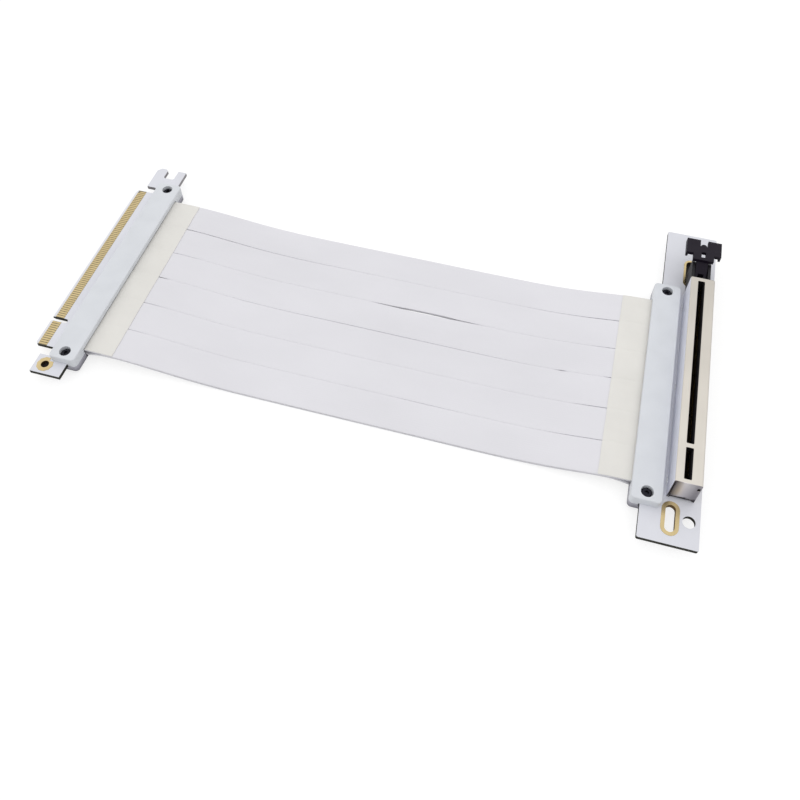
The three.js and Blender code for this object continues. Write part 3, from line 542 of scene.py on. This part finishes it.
def board_finish(name, plated_holes):
    """White solder mask on a dark board, with gold where the plating stands proud."""
    finish = Finish(name)
    places = finish.places()
    height = finish.math("SUBTRACT", places[2], (BOARD_TOP + BOARD_BOTTOM) / 2)
    proud = (BOARD_TOP - BOARD_BOTTOM + PLATING) / 2
    gold = finish.math("GREATER_THAN", finish.math("ABSOLUTE", height), proud)
    wall = 0.0
    for hole in plated_holes:
        wall = finish.math("MAXIMUM", wall, oblong_mask(finish, places, hole))
    upright = finish.upright()
    wall = finish.math("MULTIPLY", wall, upright)
    gold = finish.math("MAXIMUM", gold, wall)
    slow = finish.noise(12 * MM, 3)
    mask_colour = finish.tinted(colours().mask, finish.spread(slow, 0, 1), 0.06)
    contact_band = finish.math(
        "MULTIPLY", inside(finish, places[0], CONTACTS_LEFT, CONTACTS_RIGHT),
        inside(finish, places[1], CONTACTS_NEAR, CONTACTS_FAR),
    )
    mask_colour = finish.mix(contact_band, mask_colour, tuple(colours().laminate))
    grain = finish.noise(0.7 * MM, 4, (1, 1, 0.2))
    edge_colour = finish.tinted(colours().board_edge, finish.spread(grain, 0, 1), 0.45)
    in_tail = finish.math(
        "MULTIPLY", finish.math("LESS_THAN", places[0], TAIL_RIGHT),
        finish.math("GREATER_THAN", places[1], TAIL_NEAR),
    )
    edge_colour = finish.mix(in_tail, edge_colour, tuple(colours().tail_edge))
    plain = finish.mix(upright, mask_colour, edge_colour)
    wear = finish.noise(1.5 * MM, 4, (1, 0.3, 1))
    gold_colour = finish.tinted(colours().gold, finish.spread(wear, 0, 1), 0.14)
    # Painted shade: the plated walls inside the holes take the darker hole wall colour.
    gold_colour = finish.mix(wall, gold_colour, tuple(colours().shaded_hole_wall))
    finish.colour(finish.mix(gold, plain, gold_colour))
    finish.metallic(gold)
    finish.gloss(0.3)
    plain_rough = finish.math("ADD", finish.spread(slow, 0.32, 0.46), finish.math("MULTIPLY", upright, 0.4))
    finish.roughness(finish.math("SUBTRACT", plain_rough, finish.math("MULTIPLY", gold, 0.14)))
    finish.bump(finish.noise(0.5 * MM, 4), 0.006 * MM, 0.5)
    return finish.material


def housing_finish():
    """Black moulding, with the gold contact springs that stand into the card gap."""
    finish = Finish("slot black")
    finish.gloss(0.25)
    places = finish.places()
    aside = finish.math("ABSOLUTE", finish.math("SUBTRACT", places[0], SLOT_AXIS))
    in_gap = finish.math("LESS_THAN", aside, GAP_HALF)
    in_depth = inside(finish, places[2], SPRINGS_LOW, SPRINGS_HIGH)
    along = finish.math("LESS_THAN", places[1], SPRINGS_FAR)
    spring = finish.math("MULTIPLY", finish.math("MULTIPLY", in_gap, in_depth), along)
    slow = finish.noise(5 * MM, 3)
    black = finish.tinted(colours().black, finish.spread(slow, 0, 1), 0.25)
    finish.colour(finish.mix(spring, black, tuple(colours().gold)))
    finish.metallic(spring)
    matt = finish.spread(slow, 0.5, 0.62)
    finish.roughness(finish.math("SUBTRACT", matt, finish.math("MULTIPLY", spring, 0.25)))
    finish.bump(finish.noise(0.35 * MM, 4), 0.01 * MM, 0.6)
    return finish.material


def end_plate_painted_light(finish, places):
    """Bent end of the shield: a painted broad gleam between darker sides, over painted shade at its uneven
    foot.
    """
    across = finish.spread(places[0], 0, 1, SLOT_AXIS - 4 * MM, SLOT_AXIS + 3.8 * MM)
    # Painted reflection: a broad gleam across the middle of the plate.
    gleam = finish.math(
        "MULTIPLY", finish.spread(across, 0, 1, 0.1, 0.42), finish.spread(across, 1, 0.3, 0.5, 1),
    )
    # Painted shade along the plate's foot, with a ragged upper edge.
    level = finish.math("ADD", places[2], finish.spread(finish.noise(1.4 * MM, 2), 0, 1.1 * MM))
    rise = finish.spread(level, 0, 1, BOARD_TOP + 1.8 * MM, BOARD_TOP + 2.6 * MM)
    plate = finish.mix(gleam, srgb(92, 88, 95), srgb(228, 224, 225))
    return finish.mix(rise, srgb(46, 42, 46), plate)


def steel_finish():
    """Rolled steel sheet: long faint drawing marks, a soft gloss, darker towards the latch, painted
    reflections on two faces.
    """
    finish = Finish("shield steel")
    marks = finish.noise(0.5 * MM, 4, (1, 0.03, 1))
    places = finish.places()
    patches = finish.spread(finish.noise(18 * MM, 2), 0, 0.08)
    # The colour darkens towards the latch.
    along = finish.spread(places[1], 0, 0.17, SLOT_START + 12 * MM, SLOT_START + 90 * MM)
    bright = finish.tinted(colours().steel, finish.math("ADD", patches, along), 1)
    end_plate = finish.math("LESS_THAN", places[1], END_PLATE_FAR)
    # Painted reflection: the left wall is coloured near white and made half diffuse, to stand for the white
    # board that it mirrors.
    board_reflection_side = finish.math("LESS_THAN", places[0], SHIELD_LEFT)
    bright = finish.mix(board_reflection_side, bright, srgb(228, 229, 238))
    finish.colour(finish.mix(end_plate, bright, end_plate_painted_light(finish, places)))
    finish.metallic(finish.math("SUBTRACT", 1.0, finish.math("MULTIPLY", board_reflection_side, 0.5)))
    finish.roughness(finish.spread(marks, 0.3, 0.42))
    finish.bump(marks, 0.004 * MM, 0.5)
    return finish.material


def metal_finish(name, base, roughness, grain):
    """Small metal parts: uneven gloss over a fine grain."""
    finish = Finish(name)
    finish.metallic(1.0)
    patches = finish.noise(grain, 4)
    finish.colour(finish.tinted(base, finish.spread(patches, 0, 1), 0.2))
    finish.roughness(finish.spread(patches, roughness - 0.08, roughness + 0.12))
    finish.bump(finish.noise(grain / 3, 3), 0.006 * MM, 0.5)
    return finish.material


# Ribbons and tapes

def full_route(plug_side, socket_side):
    """One layer's middle as points of x and z, from inside the plug's cover to inside the socket's."""
    outward = [(PLUG_LINE + d, z) for d, z in plug_side]
    inward = [(SOCKET_LINE - d, z) for d, z in socket_side]
    return outward + inward[::-1]


def route_height(route, x):
    """Height of the smooth line through a route's points at x."""
    index = max(i for i, point in enumerate(route[:-1]) if point[0] <= x or i == 0)
    points = [route[max(index - 1, 0)], route[index], route[index + 1], route[min(index + 2, len(route) - 1)]]
    (x0, z0), (x1, z1), (x2, z2), (x3, z3) = points
    span = x2 - x1
    middle_slope = (z2 - z1) / span
    slope_in = (z2 - z0) / (x2 - x0)
    slope_out = (z3 - z1) / (x3 - x1)
    if (z1 - z0) * middle_slope <= 0:
        slope_in = 0
    if (z3 - z2) * middle_slope <= 0:
        slope_out = 0
    t = (x - x1) / span
    return (
        z1 * (2 * t ** 3 - 3 * t ** 2 + 1) + z2 * (3 * t ** 2 - 2 * t ** 3)
        + span * (slope_in * (t ** 3 - 2 * t ** 2 + t) + slope_out * (t ** 3 - t ** 2))
    )


def stations(start, end, step):
    count = max(2, round((end - start) / step))
    return [start + (end - start) * i / count for i in range(count + 1)]


def route_frame(route, x):
    """Height and unit normal of a route at x."""
    reach = 0.2 * MM
    x0 = max(x - reach, route[0][0])
    x1 = min(x + reach, route[-1][0])
    along = Vector((x1 - x0, 0, route_height(route, x1) - route_height(route, x0))).normalized()
    return route_height(route, x), Vector((-along.z, 0, along.x))


def slit_gap(slits, number, x):
    """Width of the gap between strips number and number + 1 at x."""
    gap = CLOSED_SLIT
    place = x - PLUG_LINE
    for slit, widths in slits:
        for (x0, w0), (x1, w1) in zip(widths, widths[1:]):
            if slit == number and x0 <= place <= x1:
                t = (place - x0) / (x1 - x0)
                gap = max(gap, (w0 + (w1 - w0) * (3 * t * t - 2 * t ** 3)) * MM)
    return gap


def strip_edges(index, slits, x):
    """The near and far edge of strip index, which starts at 0, at x."""
    near = CABLE_START_Y + index * STRIP_PITCH
    far = near + STRIP_WIDTH
    slack = (STRIP_PITCH - STRIP_WIDTH) / 2
    if index > 0:
        near = near - slack + slit_gap(slits, index, x) / 2
    if index < STRIPS - 1:
        far = far + slack - slit_gap(slits, index + 1, x) / 2
    return near, far


def surface_wave(x, y, seed):
    """Slow uneven height of a ribbon's surface, roughly from -1 to 1."""
    slow = noise.noise(Vector((x / SLOW_WAVE[0], y / SLOW_WAVE[1], seed)))
    quick = noise.noise(Vector((x / QUICK_WAVE[0], y / QUICK_WAVE[1], seed + 7.3)))
    return slow + QUICK_SHARE * quick


def strip_section(near, far, across=12, edge_steps=3):
    """Points round a strip's section, as place across and height, counted from the near side."""
    half = sizes().ribbon_thickness / 2
    radius = sizes().ribbon_edge
    points = []
    for side in (1, -1):
        inner, outer = (near, far) if side > 0 else (far, near)
        inner += side * radius
        outer -= side * radius
        for i in range(across + 1):
            points.append((inner + (outer - inner) * i / across, side * half))
        for level in (side, -side):
            for i in range(1, edge_steps + 1):
                turn = math.pi / 2 * (i / edge_steps if level == side else 1 - i / edge_steps)
                lift = half - radius + radius * math.cos(turn)
                points.append((outer + side * radius * math.sin(turn), level * lift))
        points.pop()
    return points


def ribbon(name, route, index, slits, seed, material):
    """A strip of ribbon that follows its route, with rounded edges and slow waves."""
    shell = bmesh.new()
    rings = []
    path = []
    for x in stations(route[0][0], route[-1][0], sizes().station_step):
        height, normal = route_frame(route, x)
        near, far = strip_edges(index, slits, x)
        centre = (near + far) / 2
        ring = []
        for y, level in strip_section(near, far):
            side = (y - centre) / (far - near) * 2
            lift = sizes().wave * surface_wave(x, y, seed) - sizes().crown * side * side
            ring.append(shell.verts.new(Vector((x, y, height)) + normal * (level + lift)))
        rings.append(ring)
        path.append((x, CABLE_START_Y + index * STRIP_PITCH + STRIP_WIDTH / 2, height))
    for ring, following in zip(rings, rings[1:]):
        for i, vertex in enumerate(ring):
            following_vertex = (i + 1) % len(ring)
            shell.faces.new((vertex, following[i], following[following_vertex], ring[following_vertex]))
    shell.faces.new(rings[0])
    shell.faces.new(rings[-1][::-1])
    bmesh.ops.recalc_face_normals(shell, faces=shell.faces)
    mesh = bpy.data.meshes.new(name)
    shell.to_mesh(mesh)
    shell.free()
    piece = mesh_piece(name, mesh)
    paint(piece, material)
    activate(piece)
    bpy.ops.object.shade_smooth_by_angle(angle=math.radians(40))
    return piece, path


def tape(name, route, x0, x1, side, seed, material):
    """A band of tape across the strips, sunk a little into the slits."""
    half = sizes().ribbon_thickness / 2
    shell = bmesh.new()
    rows = []
    xs = stations(x0, x1, TAPE_STEP)
    ys = stations(CABLE_START_Y + TAPE_MARGIN, CABLE_END_Y - TAPE_MARGIN, TAPE_STEP)
    for i, x in enumerate(xs):
        row = []
        for y in ys:
            place = x
            if i in (0, len(xs) - 1):
                place += RAGGED_EDGE * noise.noise(Vector((y / RAGGED_LENGTH, i, seed)))
            height, normal = route_frame(route, place)
            strip_place = (y - CABLE_START_Y) / STRIP_PITCH
            index = min(max(int(strip_place), 0), STRIPS - 1)
            across = ((strip_place - index) * STRIP_PITCH / STRIP_WIDTH) * 2 - 1
            drop = sizes().crown * min(abs(across), 1) ** 2
            nearest = round(strip_place)
            distance = abs(y - CABLE_START_Y - nearest * STRIP_PITCH + (STRIP_PITCH - STRIP_WIDTH) / 2)
            if 0 < nearest < STRIPS:
                drop += TAPE_SINK * math.exp(-(distance / SINK_WIDTH) ** 2)
            wave = sizes().wave * surface_wave(place, y, seed)
            ruffle = RUFFLE * noise.noise(Vector((x / RUFFLE_LENGTH, y / RUFFLE_LENGTH, seed)))
            lift = side * (half + TAPE_LIFT) + wave - drop + ruffle
            row.append(shell.verts.new(Vector((place, y, height)) + normal * lift))
        rows.append(row)
    for row, following in zip(rows, rows[1:]):
        for j in range(len(row) - 1):
            corners = (row[j], following[j], following[j + 1], row[j + 1])
            shell.faces.new(corners if side > 0 else corners[::-1])
    mesh = bpy.data.meshes.new(name)
    shell.to_mesh(mesh)
    shell.free()
    piece = mesh_piece(name, mesh)
    paint(piece, material)
    wall = piece.modifiers.new("wall", "SOLIDIFY")
    wall.thickness = sizes().tape_thickness
    wall.offset = 1
    apply_modifiers(piece)
    bpy.ops.object.shade_smooth_by_angle(angle=math.radians(40))
    return piece


class RISER_OT_cable(bpy.types.Operator):
    """Lay both layers of ribbon strips between the boards, with their tape bands"""

    bl_idname = "riser.cable"
    bl_label = "Cable"
    bl_options = {"REGISTER", "UNDO"}

    def execute(self, context):
        film = ribbon_finish()
        cream = tape_finish()
        layers = (
            ("upper", full_route(UPPER_PLUG_ROUTE, UPPER_SOCKET_ROUTE), UPPER_SLITS, 1, 2.0),
            ("lower", full_route(LOWER_PLUG_ROUTE, LOWER_SOCKET_ROUTE), LOWER_SLITS, -1, 31.0),
        )
        inner = COVER_HALF - TAPE_TUCK
        outer = sizes().tape_reach
        for layer, route, slits, side, seed in layers:
            ends = (
                ("plug", PLUG_LINE + inner, PLUG_LINE + outer),
                ("socket", SOCKET_LINE - outer, SOCKET_LINE - inner),
            )
            for end, x0, x1 in ends:
                band = tape(f"tape_{end}_{layer}", route, x0, x1, side, seed, cream)
                finish_piece(band, BODY, "tape_cream", f"{end}_tape_{layer}")
            for index in range(STRIPS):
                strip, path = ribbon(f"strip_{layer}_{index + 1}", route, index, slits, seed, film)
                finish_piece(strip, BODY, "ribbon_white", f"ribbon_{layer}_{index + 1}")
        return {"FINISHED"}


def hole_insert(name, hole):
    """A plug that sits in the bottom of a round or oblong hole, with a softened rim."""
    radius = hole["radius"] - INSERT_PLAY
    deselect_all()
    bpy.ops.mesh.primitive_cylinder_add(
        vertices=32, radius=radius, depth=INSERT_HIGH - INSERT_LOW,
        location=(hole["x"], hole["y"], (INSERT_LOW + INSERT_HIGH) / 2),
    )
    piece = bpy.context.object
    piece.name = name
    settle(piece)
    bpy.ops.object.mode_set(mode="EDIT")
    for side in (-1, 1):
        bpy.ops.mesh.select_all(action="DESELECT")
        shape = bmesh.from_edit_mesh(piece.data)
        for vertex in shape.verts:
            vertex.select = side * (vertex.co.y - hole["y"]) > 0.01 * MM
        shape.select_flush(True)
        bmesh.update_edit_mesh(piece.data)
        bpy.ops.transform.translate(value=(0, side * hole["straight"] / 2, 0))
    bpy.ops.object.mode_set(mode="OBJECT")
    round_edges(piece, sizes().small_edge)
    bpy.ops.object.shade_smooth_by_angle(angle=math.radians(35))
    return piece


class RISER_OT_boards(bpy.types.Operator):
    """Finish both circuit boards: white mask, dark cut edges and gold plating"""

    bl_idname = "riser.boards"
    bl_label = "Boards"
    bl_options = {"REGISTER", "UNDO"}

    def execute(self, context):
        paint(bpy.data.objects["plug_board"], board_finish("plug board", [TAB_HOLE]))
        paint(bpy.data.objects["socket_board"], board_finish("socket board", [NEAR_HOLE, FAR_HOLE]))
        dark = plastic_finish("insert dark", colours().insert, 0.6, 0.3 * MM, 0.01 * MM, 0.2)
        for name, hole in (("tab_insert", TAB_HOLE), ("far_hole_insert", FAR_HOLE)):
            insert = hole_insert(name, hole)
            paint(insert, dark)
            finish_piece(insert, BODY, "slot_black")
        return {"FINISHED"}


class RISER_OT_covers(bpy.types.Operator):
    """Soften the four clamping covers and give them their satin white plastic, with painted shade on the
    lower ones
    """

    bl_idname = "riser.covers"
    bl_label = "Covers"
    bl_options = {"REGISTER", "UNDO"}

    def execute(self, context):
        skins = {
            "upper": plastic_finish("cover white", colours().cover, 0.45, 0.4 * MM, 0.006 * MM),
            # The lower covers get painted shade in place of the covers' white.
            "lower": painted_shade_cover_finish(),
        }
        for end in ("plug", "socket"):
            for half in ("upper", "lower"):
                node = f"{end}_{half}_cover"
                cover = softened_copy(node, f"cover_{end}_{half}", sizes().cover_edge)
                paint(cover, skins[half])
                finish_piece(cover, BODY, "cover_white", node)
        return {"FINISHED"}


class RISER_OT_screws(bpy.types.Operator):
    """Round the cover screws and blacken them"""

    bl_idname = "riser.screws"
    bl_label = "Screws"
    bl_options = {"REGISTER", "UNDO"}

    def execute(self, context):
        black = metal_finish("screw black", colours().screw, 0.3, 0.5 * MM)
        for end in ("plug", "socket"):
            for place in ("near", "far"):
                node = f"{end}_screw_{place}"
                screw = softened_copy(node, f"screw_{end}_{place}", sizes().screw_edge)
                paint(screw, black)
                finish_piece(screw, BODY, "screw_black", node)
        return {"FINISHED"}


class RISER_OT_slot(bpy.types.Operator):
    """Finish the card slot: black housing with gold springs, and the folded steel shield"""

    bl_idname = "riser.slot"
    bl_label = "Card slot"
    bl_options = {"REGISTER", "UNDO"}

    def execute(self, context):
        paint(bpy.data.objects["slot_housing"], housing_finish())
        shield = softened_copy("slot_shield", "shield", sizes().sheet_edge, 50)
        paint(shield, steel_finish())
        finish_piece(shield, BODY, "shield_steel", "slot_shield")
        return {"FINISHED"}


class RISER_OT_latch(bpy.types.Operator):
    """Round the card latch and give it its black moulded skin"""

    bl_idname = "riser.latch"
    bl_label = "Latch"
    bl_options = {"REGISTER", "UNDO"}

    def execute(self, context):
        latch = softened_copy("slot_latch", "latch", sizes().latch_edge)
        paint(latch, plastic_finish("latch black", colours().latch, 0.5, 0.3 * MM, 0.01 * MM, 0.14))
        finish_piece(latch, LATCH_BODY, "latch_black", "slot_latch")
        return {"FINISHED"}


def joined_copies(piece, name, offsets):
    """Copies a piece to each offset, each copy with its own mesh, and joins them into one."""
    copies = []
    for offset in offsets:
        copy = piece.copy()
        copy.data = piece.data.copy()
        copy.location = offset
        bpy.context.scene.collection.objects.link(copy)
        copies.append(copy)
    deselect_all()
    bpy.data.objects.remove(piece)
    for copy in copies:
        copy.select_set(True)
    bpy.context.view_layer.objects.active = copies[0]
    bpy.ops.object.join()
    joined = bpy.context.object
    joined.name = name
    settle(joined)
    return joined


def fill_leg_slots(material):
    """Solder in the board's slots round the shield's legs."""
    low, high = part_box("slot_shield")
    deselect_all()
    bpy.ops.mesh.primitive_cube_add(
        size=1, location=(SLOT_AXIS, SLOT_MIDDLE, BOARD_TOP - LEG_FILL_DEPTH), scale=LEG_FILL,
    )
    fill = bpy.context.object
    settle(fill)
    round_edges(fill, sizes().small_edge)
    aside = (low[0] + LEG_FILL_INSET - SLOT_AXIS, high[0] - LEG_FILL_INSET - SLOT_AXIS)
    offsets = [(x, y, 0) for y in (-LEG_PITCH, 0, LEG_PITCH) for x in aside]
    fills = joined_copies(fill, "leg_solder", offsets)
    bpy.ops.object.shade_smooth_by_angle(angle=math.radians(40))
    paint(fills, material)
    finish_piece(fills, BODY, "shield_steel")


class RISER_OT_solder(bpy.types.Operator):
    """Set the slot's solder joints under the socket board, in two staggered rows a side"""

    bl_idname = "riser.solder"
    bl_label = "Solder joints"
    bl_options = {"REGISTER", "UNDO"}

    def execute(self, context):
        deselect_all()
        radius = sizes().solder_radius
        tall = sizes().solder_height
        bpy.ops.mesh.primitive_cylinder_add(
            vertices=8, radius=radius, depth=tall, end_fill_type="NGON",
            location=(SLOT_AXIS, SLOT_START, BOARD_BOTTOM - tall / 2 + SOLDER_SINK),
        )
        joint = bpy.context.object
        settle(joint)
        bpy.ops.object.mode_set(mode="EDIT")
        bpy.ops.mesh.select_all(action="DESELECT")
        shape = bmesh.from_edit_mesh(joint.data)
        for face in shape.faces:
            face.select = face.normal.z < -0.9
        bmesh.update_edit_mesh(joint.data)
        bpy.ops.transform.resize(
            value=(SOLDER_TAPER, SOLDER_TAPER, 1), center_override=(SLOT_AXIS, SLOT_START, BOARD_BOTTOM),
        )
        bpy.ops.mesh.inset(thickness=LEAD_RIM)
        bpy.ops.mesh.extrude_region_move(TRANSFORM_OT_translate={"value": (0, 0, -LEAD_LENGTH)})
        bpy.ops.object.mode_set(mode="OBJECT")
        offsets = []
        for number in range(sizes().contacts):
            if number < SHORT_SIDE_CONTACTS:
                y = SLOT_KEY - KEY_TO_CONTACT - number * CONTACT_PITCH
            else:
                y = SLOT_KEY + KEY_TO_CONTACT + (number - SHORT_SIDE_CONTACTS) * CONTACT_PITCH
            for side in (-1, 1):
                row = SOLDER_ROWS[(number + (side < 0)) % 2]
                offsets.append((side * row, y - SLOT_START, 0))
        joints = joined_copies(joint, "solder_joints", offsets)
        bpy.ops.object.shade_smooth_by_angle(angle=math.radians(50))
        paint(joints, metal_finish("solder tin", colours().solder, 0.32, 0.6 * MM))
        finish_piece(joints, BODY, "shield_steel")
        fill_leg_slots(joints.data.materials[0])
        return {"FINISHED"}


# Stage

def seen_rays(tree):
    """1 for rays that show the background: seen straight, mirrored or through glass."""
    rays = tree.nodes.new("ShaderNodeLightPath")
    seen = rays.outputs["Is Camera Ray"]
    for kind in ("Is Glossy Ray", "Is Transmission Ray"):
        either = tree.nodes.new("ShaderNodeMath")
        either.operation = "MAXIMUM"
        tree.links.new(seen, either.inputs[0])
        tree.links.new(rays.outputs[kind], either.inputs[1])
        seen = either.outputs[0]
    return seen


def floor_finish():
    """White paper that keeps soft shadows, whatever the light on it."""
    finish = Finish("floor")
    tree = finish.tree
    finish.colour(srgb(236, 236, 236))
    finish.roughness(0.9)
    finish.gloss(0.0)
    glow = tree.nodes.new("ShaderNodeEmission")
    glow.inputs["Color"].default_value = (1, 1, 1, 1)
    glow.inputs["Strength"].default_value = FLOOR_GLOW
    blend = tree.nodes.new("ShaderNodeMixShader")
    tree.links.new(finish.math("MULTIPLY", seen_rays(tree), FLOOR_GLOW_SHARE), blend.inputs[0])
    tree.links.new(finish.shader.outputs[0], blend.inputs[1])
    tree.links.new(glow.outputs[0], blend.inputs[2])
    tree.links.new(blend.outputs[0], tree.nodes["Material Output"].inputs["Surface"])
    return finish.material


def studio_world():
    """Even soft light; the background itself shows pure white."""
    world = bpy.data.worlds.new("studio")
    bpy.context.scene.world = world
    world.use_nodes = True
    tree = world.node_tree
    background = tree.nodes["Background"]
    background.inputs["Color"].default_value = (1, 1, 1, 1)
    strength = tree.nodes.new("ShaderNodeMapRange")
    strength.inputs["To Min"].default_value = WORLD_LIGHT
    strength.inputs["To Max"].default_value = 1.0
    tree.links.new(seen_rays(tree), strength.inputs["Value"])
    tree.links.new(strength.outputs["Result"], background.inputs["Strength"])


def add_sun():
    """One broad lamp from above, so soft that it leaves no hard shadow."""
    data = bpy.data.lights.new("key light", "SUN")
    data.energy = SUN_STRENGTH
    data.angle = SUN_SPREAD
    lamp = bpy.data.objects.new("key light", data)
    bpy.context.scene.collection.objects.link(lamp)
    lamp.rotation_euler = Vector(SUN_DIRECTION).to_track_quat("-Z", "Y").to_euler()


class RISER_OT_stage(bpy.types.Operator):
    """Set the camera, the white floor and the soft studio light"""

    bl_idname = "riser.stage"
    bl_label = "Stage"
    bl_options = {"REGISTER", "UNDO"}

    def execute(self, context):
        scene = context.scene
        scene.view_settings.view_transform = "Standard"
        data = bpy.data.cameras.new("camera")
        data.sensor_width = SENSOR
        data.lens = LENS
        data.shift_x, data.shift_y = CAMERA_SHIFT
        data.clip_start = 0.01
        camera = bpy.data.objects.new("camera", data)
        scene.collection.objects.link(camera)
        turn = (
            Matrix.Rotation(CAMERA_YAW, 4, "Z")
            @ Matrix.Rotation(math.pi / 2 - CAMERA_PITCH, 4, "X")
            @ Matrix.Rotation(CAMERA_ROLL, 4, "Z")
        )
        camera.matrix_world = Matrix.Translation(CAMERA_PLACE) @ turn
        scene.camera = camera
        deselect_all()
        bpy.ops.mesh.primitive_plane_add(size=4, location=(0, 0, 0))
        floor = context.object
        floor.name = "floor"
        settle(floor)
        paint(floor, floor_finish())
        studio_world()
        add_sun()
        return {"FINISHED"}


class RISER_PT_panel(bpy.types.Panel):
    """The riser cable's pieces, sizes and colours"""

    bl_label = "Riser Cable"
    bl_idname = "RISER_PT_panel"
    bl_space_type = "VIEW_3D"
    bl_region_type = "UI"
    bl_category = "Riser"

    def draw(self, context):
        for step in STEPS:
            self.layout.operator(step.bl_idname)
        for group in (context.scene.riser_sizes, context.scene.riser_colours):
            column = self.layout.column()
            for name in group.__annotations__:
                column.prop(group, name)


STEPS = (
    RISER_OT_stage, RISER_OT_cable, RISER_OT_boards, RISER_OT_covers, RISER_OT_screws,
    RISER_OT_slot, RISER_OT_latch, RISER_OT_solder,
)
CLASSES = (RiserSizes, RiserColours) + STEPS + (RISER_PT_panel,)


def register():
    for item in CLASSES:
        bpy.utils.register_class(item)
    bpy.types.Scene.riser_sizes = PointerProperty(type=RiserSizes)
    bpy.types.Scene.riser_colours = PointerProperty(type=RiserColours)


def unregister():
    del bpy.types.Scene.riser_colours
    del bpy.types.Scene.riser_sizes
    for item in reversed(CLASSES):
        bpy.utils.unregister_class(item)


def main():
    register()
    for step in STEPS:
        category, name = step.bl_idname.split(".")
        getattr(getattr(bpy.ops, category), name)()


if __name__ == "__main__":
    main()
